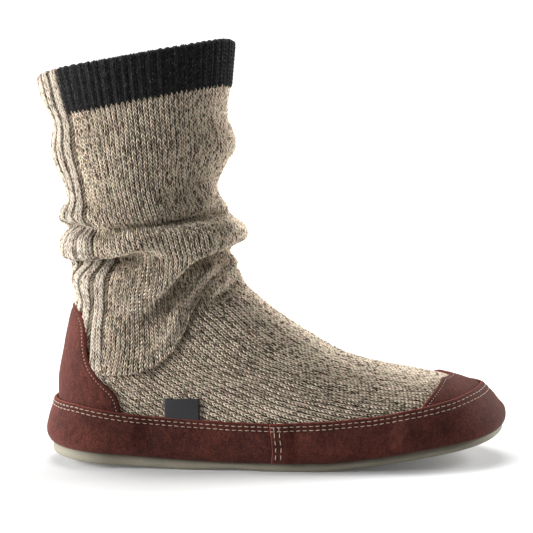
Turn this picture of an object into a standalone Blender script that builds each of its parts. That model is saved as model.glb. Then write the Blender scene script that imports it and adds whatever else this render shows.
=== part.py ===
"""A right-foot slipper sock: a knitted sock with a slouched shaft, sewn to suede foxing,
a heel counter and a toe cap, on a thin moulded sole. Metres, +X to the toe, +Y to the
inner side of the foot, +Z up. It stands on the ground plane, and its box is centred on X and Y.

Every piece comes from one function, sock_surface: a stack of closed rings that starts at the
feather line round the sole and ends at the collar. Each ring runs from a point on the back
outline to a point on the front outline, which is first the toe, then the vamp, then the shin.
"""
from collections import namedtuple

import bmesh
import bpy
import numpy as np

# Driving sizes, with x measured forward from the back of the heel.
ORIGIN_X = 0.1338
ORIGIN_Y = 0.0017
GAP = 0.0003
OVERLAY_GAP = 0.0005
EDGE_LIFT = 0.0004
OVERLAY_ROOM = 0.0026
KNIT_WALL = 0.0026
SUEDE = 0.0016
SOLE_THICKNESS = 0.0050
INSOLE_THICKNESS = 0.0042
TOE_SPRING = 0.0165
SPRING_START_X = 0.158
SPRING_CURVE = 1.4
HEEL_BEVEL = 0.0078
HEEL_BEVEL_X = 0.064
BEVEL_CURVE = 1.6
BEVEL_AT_TOP = 0.70
ARCH_RISE = 0.0010
ARCH_X = (0.084, 0.130)
TOE_END_X = 0.2664
FOOT_LENGTH = 0.270
HEEL_ROUND = 0.034
TOE_ROUND = 0.052

# How the outline in plan and the sections across the foot and the shaft close.
ROUND_POWER = 2.4
ARCH_POWER = 2.3
TOE_POWER = 50.0
SHAFT_POWER = 0.92
ARCH_START = 0.0060
LOWEST_ARCH = 0.0040
SHIN_X = 0.1130
SHIN_SLOPE = 1.2
FEATHER_ROWS = 5.0
FOOT_ROWS = (0.9, 12.5)
RIDGE_STEPS = 400
OUTSOLE_COLUMNS = 72
INSOLE_COLUMNS = 48
INSOLE_BEVEL = 0.0010

COLUMNS = 44
END_CROWDING = 0.14
ROW_BANDS = ((0.0, 11.0, 15), (11.0, 16.0, 17), (16.0, 20.0, 10))
SMALL_STEP = 1e-3
ROW_STEP = 0.02
HALVINGS = 30

Ring = namedtuple("Ring", "name back_x back_z front_x front_z half_width shaft_share")
RINGS = [
    Ring("feather", 0.0058, 0.0105, 0.2640, 0.0208, 0.030, 0.0),
    Ring("toe wall low", 0.0052, 0.0172, 0.2658, 0.0272, 0.030, 0.0),
    Ring("toe wall", 0.0054, 0.0242, 0.2642, 0.0324, 0.030, 0.0),
    Ring("toe wall high", 0.0062, 0.0307, 0.2596, 0.0375, 0.030, 0.0),
    Ring("toe top", 0.0068, 0.0372, 0.2522, 0.0420, 0.030, 0.0),
    Ring("toe box", 0.0070, 0.0432, 0.2385, 0.0464, 0.030, 0.0),
    Ring("toe root", 0.0072, 0.0487, 0.2180, 0.0524, 0.031, 0.0),
    Ring("ball", 0.0078, 0.0540, 0.1940, 0.0568, 0.032, 0.0),
    Ring("vamp", 0.0088, 0.0600, 0.1725, 0.0632, 0.033, 0.05),
    Ring("instep", 0.0099, 0.0666, 0.1528, 0.0750, 0.034, 0.18),
    Ring("high instep", 0.0111, 0.0736, 0.1363, 0.0870, 0.035, 0.40),
    Ring("throat", 0.0130, 0.0816, 0.1232, 0.0976, 0.0358, 0.65),
    Ring("ankle low", 0.0150, 0.0904, 0.1152, 0.1073, 0.0365, 0.86),
    Ring("ankle", 0.0156, 0.1011, 0.1108, 0.1176, 0.0370, 1.0),
    Ring("ankle high", 0.0137, 0.1131, 0.1088, 0.1291, 0.0378, 1.0),
    Ring("roll", 0.0117, 0.1266, 0.1075, 0.1421, 0.0386, 1.0),
    Ring("shaft low", 0.0100, 0.1426, 0.1060, 0.1586, 0.0390, 1.0),
    Ring("shaft", 0.0080, 0.1606, 0.1050, 0.1771, 0.0392, 1.0),
    Ring("shaft high", 0.0050, 0.1796, 0.1060, 0.1966, 0.0392, 1.0),
    Ring("below cuff", 0.0008, 0.1996, 0.1068, 0.2186, 0.0394, 1.0),
    Ring("collar", -0.0048, 0.2241, 0.1090, 0.2457, 0.0398, 1.0),
]
TOP = len(RINGS) - 1

Station = namedtuple("Station", "name x half_width centre_y")
STATIONS = [
    Station("heel end", 0.000, 0.0300, 0.0000),
    Station("heel", 0.030, 0.0322, -0.0004),
    Station("heel front", 0.060, 0.0334, -0.0022),
    Station("waist", 0.105, 0.0350, -0.0052),
    Station("joint", 0.145, 0.0396, -0.0044),
    Station("ball", 0.180, 0.0432, -0.0008),
    Station("toes", 0.215, 0.0432, 0.0026),
    Station("toe tip", 0.270, 0.0400, 0.0060),
]

# Folds of the slouched shaft: ridges stand out, creases go in. Each has its height and its
# depth at six places round the leg, and how far it spreads above and below that line.
PLACES = ("back", "outer back", "outer front", "front", "inner front", "inner back")
Fold = namedtuple("Fold", "name heights depths above below")
FOLDS = [
    Fold("crease under cuff", (0.1982, 0.1992, 0.2022, 0.2062, 0.2022, 0.1992),
         (-0.0030, -0.0012, -0.0006, -0.0012, -0.0010, -0.0014), 0.010, 0.008),
    Fold("upper swell", (0.1822, 0.1832, 0.1852, 0.1882, 0.1862, 0.1832),
         (0.0020, 0.0012, 0.0010, 0.0046, 0.0016, 0.0014), 0.009, 0.009),
    Fold("middle crease", (0.1582, 0.1592, 0.1602, 0.1612, 0.1602, 0.1592),
         (-0.0034, -0.0014, -0.0030, -0.0078, -0.0030, -0.0018), 0.011, 0.010),
    Fold("lower swell", (0.1442, 0.1452, 0.1472, 0.1482, 0.1472, 0.1452),
         (0.0040, 0.0016, 0.0004, -0.0012, 0.0006, 0.0018), 0.006, 0.006),
    Fold("crease over roll", (0.1361, 0.1371, 0.1401, 0.1432, 0.1406, 0.1371),
         (-0.0036, -0.0022, -0.0036, -0.0040, -0.0036, -0.0026), 0.0050, 0.0035),
    Fold("roll", (0.1271, 0.1256, 0.1286, 0.1347, 0.1291, 0.1261),
         (0.0044, 0.0064, 0.0058, 0.0090, 0.0058, 0.0060), 0.0090, 0.0085),
    Fold("crease under roll", (0.1116, 0.1111, 0.1176, 0.1244, 0.1166, 0.1116),
         (0.0004, -0.0058, -0.0012, -0.0030, -0.0016, -0.0050), 0.0055, 0.0060),
    Fold("ankle ridge", (0.1056, 0.1016, 0.1146, 0.1156, 0.1146, 0.1016),
         (0.0012, 0.0020, 0.0012, 0.0030, 0.0012, 0.0016), 0.0060, 0.0080),
    Fold("ankle crease", (0.0996, 0.0736, 0.1096, 0.1246, 0.1096, 0.0736),
         (-0.0014, -0.0004, -0.0052, -0.0008, -0.0046, -0.0004), 0.0100, 0.0100),
]
FOLDS_FADE_Z = (0.075, 0.099)

# Outline of the heel counter and of the toe cap as seen from the side.
Edge = namedtuple("Edge", "z x")
COUNTER_EDGE = [
    Edge(0.0276, 0.0480), Edge(0.0376, 0.0470), Edge(0.0416, 0.0450), Edge(0.0454, 0.0425),
    Edge(0.0487, 0.0381), Edge(0.0527, 0.0345), Edge(0.0573, 0.0311), Edge(0.0608, 0.0286),
    Edge(0.0667, 0.0266), Edge(0.0736, 0.0258), Edge(0.0806, 0.0250), Edge(0.0850, 0.0232),
    Edge(0.0884, 0.0206), Edge(0.0908, 0.0180), Edge(0.0924, 0.0156),
]
CAP_EDGE = [
    Edge(0.0306, 0.2140), Edge(0.0376, 0.2195), Edge(0.0416, 0.2237), Edge(0.0447, 0.2274),
    Edge(0.0485, 0.2322), Edge(0.0502, 0.2345),
]
COUNTER_TIP_ROW = 12.25
CAP_TOP_ROW = 5.4

# Top edge of the foxing, and how far its outside stands off the sock from bottom to top.
FOXING_TOP = [
    Edge(0.0380, 0.000), Edge(0.0372, 0.042), Edge(0.0336, 0.087), Edge(0.0308, 0.132),
    Edge(0.0332, 0.174), Edge(0.0388, 0.217), Edge(0.0424, 0.246), Edge(0.0436, 0.262),
]
Layer = namedtuple("Layer", "share inside outside")
FOXING_LAYERS = [
    Layer(0.00, 0.0003, 0.0012),
    Layer(0.05, 0.0003, 0.0032),
    Layer(0.16, 0.0003, 0.0045),
    Layer(0.29, 0.0004, 0.0047),
    Layer(0.42, 0.0004, 0.0045),
    Layer(0.56, 0.0004, 0.0040),
    Layer(0.69, 0.0004, 0.0036),
    Layer(0.81, 0.0004, 0.0032),
    Layer(0.92, 0.0004, 0.0029),
    Layer(1.00, 0.0006, 0.0025),
]
SIDE_SEAM_X = 0.1315
TUCK_SHARE = 0.66
STEP_SHARE = 0.42
COUNTER_UNDER_X = (0.050, 0.062)
CAP_UNDER_X = (0.198, 0.210)

LABEL_X = (0.0732, 0.0932)
LABEL_TOP_Z = 0.0421
LABEL_THICKNESS = 0.0009
LABEL_GAP = 0.0008

SOLE_OUTSET = 0.0004
CROWN = 0.0004
SOLE_EDGE_ROUND = 0.0018
INSOLE_INSET = KNIT_WALL + 0.0008


def smooth_step(value, start, end):
    """Rises from 0 at start to 1 at end with no corner, as 3 u squared less 2 u cubed."""
    u = np.clip((value - start) / (end - start), 0.0, 1.0)
    return u * u * (3.0 - 2.0 * u)


def through_rows(values, row):
    """Reads a column of a table at a fractional row, on a curve through the rows."""
    values = np.asarray(values, float)
    row = np.clip(row, 0.0, len(values) - 1.0)
    low = np.minimum(row.astype(int), len(values) - 2)
    u = row - low
    before = values[np.maximum(low - 1, 0)]
    after = values[np.minimum(low + 2, len(values) - 1)]
    start, end = values[low], values[low + 1]
    return start + 0.5 * u * (end - before + u * (
        2.0 * before - 5.0 * start + 4.0 * end - after
        + u * (3.0 * (start - end) + after - before)))


def along_x(stations, column, x):
    """Reads a column of the stations at x, on a curve through them."""
    rows = np.interp(x, [station.x for station in stations], np.arange(len(stations)))
    return through_rows([getattr(station, column) for station in stations], rows)


def edge_at(edges, z):
    """How far forward an outline given by its edges lies at height z."""
    return np.interp(z, [edge.z for edge in edges], [edge.x for edge in edges])


def round_end(distance, radius):
    """Closes an outline with a quarter ellipse that is radius long."""
    u = np.clip(1.0 - distance / radius, 0.0, 1.0)
    return np.sqrt(1.0 - u ** ROUND_POWER)


def toe_spring(x):
    run = np.clip((x - SPRING_START_X) / (FOOT_LENGTH - SPRING_START_X), 0.0, 1.0)
    return TOE_SPRING * run ** SPRING_CURVE


def heel_bevel(x):
    return HEEL_BEVEL * np.clip(1.0 - x / HEEL_BEVEL_X, 0.0, 1.0) ** BEVEL_CURVE


def sole_bottom(x):
    """Underside of the sole: flat at heel and ball, a low arch, heel bevel and toe spring."""
    middle = 0.5 * (ARCH_X[0] + ARCH_X[1])
    half = 0.5 * (ARCH_X[1] - ARCH_X[0])
    arch = ARCH_RISE * np.clip(1.0 - ((x - middle) / half) ** 2, 0.0, 1.0) ** 2
    return heel_bevel(x) + arch + toe_spring(x)


def sole_top(x):
    """Top of the sole, which rises less than its underside at the heel."""
    return SOLE_THICKNESS + BEVEL_AT_TOP * heel_bevel(x) + toe_spring(x)


def ring_column(column, row):
    return through_rows([getattr(ring, column) for ring in RINGS], row)


def ridge_height(x):
    """Height of the front outline over x, from the toe back to the shin."""
    rows = np.linspace(0.0, TOP, RIDGE_STEPS)
    fronts, heights = ring_column("front_x", rows), ring_column("front_z", rows)
    foot = (rows > FOOT_ROWS[0]) & (rows < FOOT_ROWS[1])
    order = np.argsort(fronts[foot])
    behind = np.maximum(SHIN_X - x, 0.0)
    return np.interp(x, fronts[foot][order], heights[foot][order]) + CROWN + SHIN_SLOPE * behind


def smooth_sock(row, angle):
    """The sock without folds. row is a place in the rings, and angle goes round each one: 0 at
    the back, pi / 2 on the outer side, pi at the front. Foot rings are as wide as the plan
    outline, closed towards the ridge as an arch; shaft rings are ellipses."""
    row, angle = np.broadcast_arrays(np.asarray(row, float), np.asarray(angle, float))
    back_x, front_x = ring_column("back_x", row), ring_column("front_x", row)
    back_z, front_z = ring_column("back_z", row), ring_column("front_z", row)
    share = np.clip(ring_column("shaft_share", row), 0.0, 1.0)
    forward = 0.5 * (1.0 - np.cos(angle))
    x = back_x + (front_x - back_x) * forward
    z = back_z + (front_z - back_z) * forward
    feather = RINGS[0]
    chord = np.interp(x, [feather.back_x, feather.front_x], [feather.back_z, feather.front_z])
    z = z + (sole_top(x) + GAP - chord) * (1.0 - smooth_step(row, 0.0, FEATHER_ROWS))

    half = along_x(STATIONS, "half_width", x)
    half = half * round_end(x - back_x, HEEL_ROUND) * round_end(TOE_END_X - x, TOE_ROUND)
    base = sole_top(x) + ARCH_START
    rise = np.clip((z - base) / np.maximum(ridge_height(x) - base, LOWEST_ARCH), 0.0, 1.0)
    arch = np.sqrt(np.clip(1.0 - rise ** ARCH_POWER, 0.0, 1.0))
    foot_y = half * arch * np.sqrt(np.clip(1.0 - forward ** TOE_POWER, 0.0, 1.0))
    shaft_y = ring_column("half_width", row) * np.abs(np.sin(angle)) ** SHAFT_POWER
    across = (1.0 - share) * foot_y + share * shaft_y
    centre = along_x(STATIONS, "centre_y", x) * (1.0 - share)
    y = centre - np.sign(np.sin(angle)) * across
    return np.stack([x, y, z], axis=-1)


def outward(surface, row, angle):
    """Unit normal of a surface of row and angle, from its slopes both ways."""
    low, high = np.maximum(row - ROW_STEP, 0.0), np.minimum(row + ROW_STEP, float(TOP))
    up = surface(high, angle) - surface(low, angle)
    around = surface(row, angle + SMALL_STEP) - surface(row, angle - SMALL_STEP)
    normal = np.cross(around, up)
    return normal / np.maximum(np.linalg.norm(normal, axis=-1, keepdims=True), 1e-12)


def round_leg(values, angle):
    """Reads six values set at equal steps round the leg, easing from each to the next."""
    values = np.asarray(values, float)
    turn = np.mod(angle / (2.0 * np.pi) * len(values), len(values))
    low = np.minimum(turn.astype(int), len(values) - 1)
    mix = smooth_step(turn - low, 0.0, 1.0)
    return values[low] * (1.0 - mix) + values[(low + 1) % len(values)] * mix


def fold_depth(points, angle):
    """How far the folds push the sock out: the sum of each fold's bell curve over height."""
    z = points[..., 2]
    total = np.zeros(z.shape)
    for fold in FOLDS:
        away = z - round_leg(fold.heights, angle)
        spread = np.where(away > 0.0, fold.above, fold.below)
        total += round_leg(fold.depths, angle) * np.exp(-(away / spread) ** 2)
    return total * smooth_step(z, *FOLDS_FADE_Z)


def sock_surface(row, angle):
    """The sock's outside: the smooth sock pushed along its normal by the folds."""
    row, angle = np.broadcast_arrays(np.asarray(row, float), np.asarray(angle, float))
    points = smooth_sock(row, angle)
    return points + outward(smooth_sock, row, angle) * fold_depth(points, angle)[..., None]


def off_sock(row, angle, distance):
    """Points at a distance outside the sock."""
    row, angle = np.broadcast_arrays(np.asarray(row, float), np.asarray(angle, float))
    distance = np.broadcast_to(distance, row.shape)
    return sock_surface(row, angle) + outward(sock_surface, row, angle) * distance[..., None]


def halve(low, high, above):
    """Finds by halving where above(value) turns from false to true, for whole arrays."""
    for _ in range(HALVINGS):
        middle = 0.5 * (low + high)
        over = above(middle)
        low, high = np.where(over, low, middle), np.where(over, middle, high)
    return 0.5 * (low + high)


def row_at_height(angle, height_over_x, top_row=8.0):
    """The row where the sock reaches a height that depends on x."""
    def above(row):
        points = smooth_sock(row, angle)
        return points[..., 2] > height_over_x(points[..., 0])
    return halve(np.zeros_like(angle), np.full_like(angle, top_row), above)


def foxing_top(x):
    return np.interp(x, [edge.x for edge in FOXING_TOP], [edge.z for edge in FOXING_TOP])


def material(name, colour, roughness):
    """A plain surface in the piece's own colour."""
    made = bpy.data.materials.new(name)
    made.use_nodes = True
    shader = made.node_tree.nodes["Principled BSDF"]
    shader.inputs["Base Color"].default_value = (*colour, 1.0)
    shader.inputs["Roughness"].default_value = roughness
    made.diffuse_color = (*colour, 1.0)
    return made


def add_piece(name, points, faces, finish, collection):
    """Makes a mesh object in the row frame, with shared corners merged and normals outwards."""
    mesh = bpy.data.meshes.new(name)
    places = np.asarray(points, float).reshape(-1, 3) - (ORIGIN_X, ORIGIN_Y, 0.0)
    mesh.from_pydata(places.tolist(), [], faces)
    shape = bmesh.new()
    shape.from_mesh(mesh)
    bmesh.ops.remove_doubles(shape, verts=shape.verts, dist=2e-5)
    bmesh.ops.dissolve_degenerate(shape, edges=shape.edges, dist=1e-5)
    bmesh.ops.recalc_face_normals(shape, faces=shape.faces)
    shape.to_mesh(mesh)
    shape.free()
    mesh.shade_smooth()
    mesh.materials.append(finish)
    piece = bpy.data.objects.new(name, mesh)
    collection.objects.link(piece)
    return piece


def grid_faces(rows, columns, closed):
    """Quads of a grid whose points run row by row, joined round each row if closed."""
    across = columns if closed else columns - 1
    return [
        (row * columns + column, row * columns + (column + 1) % columns,
         (row + 1) * columns + (column + 1) % columns, (row + 1) * columns + column)
        for row in range(rows - 1) for column in range(across)
    ]


def thicken(piece, thickness, offset):
    """Gives an open surface a wall: offset -1 goes inwards and 1 outwards."""
    wall = piece.modifiers.new("wall", "SOLIDIFY")
    wall.thickness = thickness
    wall.offset = offset
    wall.use_rim = True


def across_faces(start, columns, upwards):
    """Strips across a closed ring whose points pair up at the same x, to close it flat."""
    half = columns // 2
    strips = []
    for i in range(half):
        a, b = start + i, start + i + 1
        c, d = start + (columns - i - 1) % columns, start + (columns - i) % columns
        corners = [a, b, c, d]
        unique = list(dict.fromkeys(corners))
        strips.append(tuple(unique if upwards else unique[::-1]))
    return strips


def plan_ring(columns, outset):
    """The feather line in plan, moved outwards by outset, which may be an array."""
    angle = np.arange(columns) * 2.0 * np.pi / columns
    outline = smooth_sock(np.zeros(columns), angle)[:, :2]
    ahead = smooth_sock(np.zeros(columns), angle + SMALL_STEP)[:, :2]
    behind = smooth_sock(np.zeros(columns), angle - SMALL_STEP)[:, :2]
    along = (ahead - behind) / np.linalg.norm(ahead - behind, axis=1, keepdims=True)
    normal = np.stack([along[:, 1], -along[:, 0]], axis=1)
    return outline + normal * np.broadcast_to(outset, (columns,))[:, None]


def slab(name, rings, finish, collection):
    """A flat piece from a stack of rings, closed across its first and last ring."""
    columns = len(rings[0])
    faces = grid_faces(len(rings), columns, closed=True)
    faces += across_faces(0, columns, upwards=False)
    faces += across_faces((len(rings) - 1) * columns, columns, upwards=True)
    return add_piece(name, np.concatenate(rings), faces, finish, collection)


def make_outsole(finish, collection):
    """Moulded sole: a round lower edge, then a straight wall up to the foxing."""
    columns = OUTSOLE_COLUMNS
    rings = []
    for turn in np.linspace(0.0, 0.5 * np.pi, 4):
        inset = SOLE_EDGE_ROUND * (1.0 - np.sin(turn))
        plan = plan_ring(columns, SOLE_OUTSET - inset)
        lift = SOLE_EDGE_ROUND * (1.0 - np.cos(turn))
        rings.append(np.column_stack([plan, sole_bottom(plan[:, 0]) + lift]))
    feather_x = plan_ring(columns, 0.0)[:, 0]
    rings.append(np.column_stack([plan_ring(columns, SOLE_OUTSET), sole_top(feather_x)]))
    return slab("outsole", rings, finish, collection)


def make_insole(finish, collection):
    """Footbed inside the sock, following the toe spring, with a softened top edge."""
    rings = []
    below_edge = INSOLE_THICKNESS - INSOLE_BEVEL
    for lift, inset in ((GAP, 0.0), (below_edge, 0.0), (INSOLE_THICKNESS, INSOLE_BEVEL)):
        plan = plan_ring(INSOLE_COLUMNS, -(INSOLE_INSET + inset))
        rings.append(np.column_stack([plan, sole_top(plan[:, 0]) + lift]))
    return slab("insole", rings, finish, collection)


def row_grid():
    """Rows of the upper's mesh, closest together where the folds are."""
    bands = [np.linspace(low, high, steps, endpoint=False) for low, high, steps in ROW_BANDS]
    return np.append(np.concatenate(bands), float(TOP))


def angle_grid():
    """Columns of the upper's mesh over one turn, closer together at the heel and the toe."""
    turn = np.arange(COLUMNS) * 2.0 * np.pi / COLUMNS
    return turn - END_CROWDING * np.sin(2.0 * turn)


def make_upper(finish, collection):
    """The knitted sock as one wall, open at the collar and underneath."""
    rows = row_grid()
    points = sock_surface(rows[:, None], angle_grid()[None, :])
    faces = grid_faces(len(rows), COLUMNS, closed=True)
    upper = add_piece("upper", points, faces, finish, collection)
    thicken(upper, KNIT_WALL, -1.0)
    return upper


def side_place(x, z):
    """Row and angle on the outer side for a point seen from the side, found in turns."""
    x, z = np.broadcast_arrays(np.asarray(x, float), np.asarray(z, float))
    angle = np.full(x.shape, 0.5 * np.pi)
    for _ in range(HALVINGS):
        row = row_at_height(angle, lambda _, height=z: height, float(TOP))
        back_x, front_x = ring_column("back_x", row), ring_column("front_x", row)
        forward = np.clip((x - back_x) / (front_x - back_x), 0.0, 1.0)
        angle = 0.5 * angle + 0.5 * np.arccos(1.0 - 2.0 * forward)
    return row, angle


def tucked_height(x):
    """Height down to which the counter and cap run behind the foxing."""
    return sole_top(x) + TUCK_SHARE * (foxing_top(x) - sole_top(x))


def trim_to_edge(rows, columns, middle, past_edge):
    """The part of the upper's grid that an overlay covers. Columns that would pass its edge
    are pulled in to it, and rows below its hidden lower edge are raised to that. Returns
    rows, angles and how much further out each point stands, which is more along the edge."""
    side = np.sign(columns - middle)
    turned = np.abs(columns - middle)
    lowest = row_at_height(columns, tucked_height)
    for _ in range(3):
        placed = np.maximum(rows, lowest)
        shape = placed.shape
        limit = halve(np.zeros(shape), np.full(shape, 0.5 * np.pi),
                      lambda turn: past_edge(smooth_sock(placed, middle + side * turn)))
        angle = middle + side * np.minimum(turned, limit)
        lowest = row_at_height(angle, tucked_height)
    return placed, angle, EDGE_LIFT * (turned > limit)


def overlay(name, rows, columns, middle, past_edge, finish, collection):
    """A suede sheet just off the sock, over the part of it within past_edge."""
    placed, angle, lift = trim_to_edge(rows, columns, middle, past_edge)
    points = off_sock(placed, angle, OVERLAY_GAP + lift)
    faces = grid_faces(*placed.shape, closed=False)
    piece = add_piece(name, points, faces, finish, collection)
    thicken(piece, SUEDE, 1.0)
    return piece


def rows_up_to(last):
    rows = row_grid()
    return np.append(rows[rows < last - 0.1], last)[:, None]


def make_counter(finish, collection):
    """Suede heel counter: wide at the foxing, narrowing to a rounded tip up the back."""
    columns = angle_grid()[:COLUMNS // 4 + 1]
    columns = np.concatenate([-columns[:0:-1], columns])[None, :]

    def past_edge(points):
        return points[..., 0] > edge_at(COUNTER_EDGE, points[..., 2])
    rows = rows_up_to(COUNTER_TIP_ROW)
    return overlay("heel_counter", rows, columns, 0.0, past_edge, finish, collection)


def make_cap(finish, collection):
    """Suede toe cap: over the toes from edge to edge, down behind the foxing."""
    columns = angle_grid()[COLUMNS // 4:3 * COLUMNS // 4 + 1][None, :]

    def past_edge(points):
        return points[..., 0] < edge_at(CAP_EDGE, points[..., 2])
    rows = rows_up_to(CAP_TOP_ROW)
    return overlay("toe_cap", rows, columns, np.pi, past_edge, finish, collection)


def foxing_room(x):
    """How much further out the foxing's inside lies over the counter and the cap."""
    heel = 1.0 - smooth_step(x, *COUNTER_UNDER_X)
    toe = smooth_step(x, *CAP_UNDER_X)
    return OVERLAY_ROOM * np.maximum(heel, toe)


def make_foxing(name, angle, finish, collection):
    """A suede band: layers of inside and outside points, carried round the sock and closed
    at the band's ends. It stands further out over the counter and the cap."""
    inner, outer = [], []
    for layer in FOXING_LAYERS:
        def height(x, share=layer.share):
            base = sole_top(x) + GAP
            return base + share * (foxing_top(x) - base)
        rows = row_at_height(angle, height)
        room = foxing_room(smooth_sock(rows, angle)[:, 0])
        inner.append(off_sock(rows, angle, layer.inside + room * (layer.share > STEP_SHARE)))
        spread = smooth_step(layer.share, 0.0, STEP_SHARE)
        outer.append(off_sock(rows, angle, layer.outside + room * spread))
    section = np.stack(outer + inner[::-1], axis=1)
    count = section.shape[1]
    faces = [
        (i * count + j, i * count + (j + 1) % count,
         (i + 1) * count + (j + 1) % count, (i + 1) * count + j)
        for i in range(len(angle) - 1) for j in range(count)
    ]
    for end in (0, (len(angle) - 1) * count):
        faces += [(end + j, end + j + 1, end + count - 2 - j, end + count - 1 - j)
                  for j in range(len(FOXING_LAYERS) - 1)]
    return add_piece(name, section, faces, finish, collection)


def make_label(finish, collection):
    """A small woven tab that stands up from the foxing on the outer side."""
    x = np.linspace(*LABEL_X, 5)[None, :] + np.zeros((3, 1))
    low = foxing_top(x) + LABEL_GAP
    z = low + (LABEL_TOP_Z - low) * np.linspace(0.0, 1.0, 3)[:, None]
    row, angle = side_place(x, z)
    points = off_sock(row, angle, GAP)
    faces = grid_faces(3, 5, closed=False)
    piece = add_piece("side_label", points, faces, finish, collection)
    thicken(piece, LABEL_THICKNESS, 1.0)
    return piece


def foxing_angles():
    """Columns of the rear and the front foxing: the upper's own, cut at the side seams half
    a gap to each side of SIDE_SEAM_X."""
    ring = RINGS[1]
    length = ring.front_x - ring.back_x
    middle = np.arccos(1.0 - 2.0 * (SIDE_SEAM_X - ring.back_x) / length)
    half_gap = GAP / (length * np.sin(middle))
    rear_end, front_end = middle - half_gap, middle + half_gap
    columns = angle_grid()
    front = columns[(columns > front_end) & (columns < 2.0 * np.pi - front_end)]
    rear = columns[columns < rear_end]
    rear = np.concatenate([[-rear_end], -rear[:0:-1], rear, [rear_end]])
    return rear, np.concatenate([[front_end], front, [2.0 * np.pi - front_end]])


def main():
    for old in list(bpy.data.objects):
        bpy.data.objects.remove(old)
    collection = bpy.data.collections.new("slipper_sock")
    bpy.context.scene.collection.children.link(collection)
    knit = material("ragg_wool_knit", (0.46, 0.39, 0.31), 0.95)
    suede = material("brown_suede", (0.16, 0.045, 0.03), 0.85)
    rubber = material("sole_rubber", (0.29, 0.28, 0.22), 0.7)
    lining = material("insole_felt", (0.35, 0.31, 0.26), 0.95)
    woven = material("label_weave", (0.045, 0.05, 0.055), 0.8)

    make_outsole(rubber, collection)
    make_insole(lining, collection)
    make_upper(knit, collection)
    make_counter(suede, collection)
    make_cap(suede, collection)
    rear, front = foxing_angles()
    make_foxing("foxing_rear", rear, suede, collection)
    make_foxing("foxing_front", front, suede, collection)
    make_label(woven, collection)


main()
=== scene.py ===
"""The looks of a right-foot slipper sock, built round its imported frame. Metres, +X to the toe,
+Y to the inner side of the foot, +Z up.

The knitted sock is one surface, sock_surface(row, angle): a stack of closed rings from the feather
line round the sole up to the collar, pushed in and out by its folds. Every knitted panel is a grid
on that surface whose columns run along the wales and whose rows zigzag along the stitches, so the
loops of the yarn are real relief. The suede pieces, the thread, the sole and the tab follow the
same surface."""

from collections import namedtuple

import bpy
import numpy as np
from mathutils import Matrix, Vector


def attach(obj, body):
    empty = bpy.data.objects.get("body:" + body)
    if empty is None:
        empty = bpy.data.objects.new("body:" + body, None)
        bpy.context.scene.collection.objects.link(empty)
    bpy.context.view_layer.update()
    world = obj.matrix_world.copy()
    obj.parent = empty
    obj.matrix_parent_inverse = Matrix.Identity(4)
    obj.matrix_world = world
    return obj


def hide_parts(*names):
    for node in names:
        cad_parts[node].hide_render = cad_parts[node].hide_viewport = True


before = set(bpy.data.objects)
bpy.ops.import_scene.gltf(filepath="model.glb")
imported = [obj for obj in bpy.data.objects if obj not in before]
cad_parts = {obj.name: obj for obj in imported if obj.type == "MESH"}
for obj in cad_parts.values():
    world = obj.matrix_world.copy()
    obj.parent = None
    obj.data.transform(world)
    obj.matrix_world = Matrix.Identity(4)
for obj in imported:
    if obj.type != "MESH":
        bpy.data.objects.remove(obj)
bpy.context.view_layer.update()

# ---------------------------------------------------------------------------
# Driving sizes: x is measured forward from the back of the heel.
ORIGIN_X = 0.1338
ORIGIN_Y = 0.0017
GAP = 0.0003
OVERLAY_GAP = 0.0005
KNIT_WALL = 0.0026
SUEDE = 0.0016
SOLE_THICKNESS = 0.0050
TOE_SPRING = 0.0165
SPRING_START_X = 0.158
SPRING_CURVE = 1.4
HEEL_LIFT = 0.0056
HEEL_LIFT_X = 0.100
HEEL_LIFT_CURVE = 1.9
HEEL_TOP_LIFT = 0.0068
HEEL_TOP_LIFT_X = 0.110
HEEL_TOP_CURVE = 1.5
HEEL_REACH = 0.0042
TOE_REACH = 0.0050
HEEL_REACH_X = (0.012, 0.055)
TOE_REACH_X = (0.215, 0.258)
ARCH_RISE = 0.0010
ARCH_X = (0.084, 0.130)
TOE_END_X = 0.2664
FOOT_LENGTH = 0.270
HEEL_ROUND = 0.034
TOE_ROUND = 0.052
ROUND_POWER = 2.4
ARCH_POWER = 2.3
TOE_POWER = 50.0
SHAFT_POWER = 0.92
ARCH_START = 0.0060
LOWEST_ARCH = 0.0040
SHIN_X = 0.1130
SHIN_SLOPE = 1.2
FEATHER_ROWS = 5.0
FOOT_ROWS = (0.9, 12.5)
RIDGE_STEPS = 400
CROWN = 0.0004
SMALL_STEP = 1e-3
ROW_STEP = 0.02
HALVINGS = 30

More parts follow.
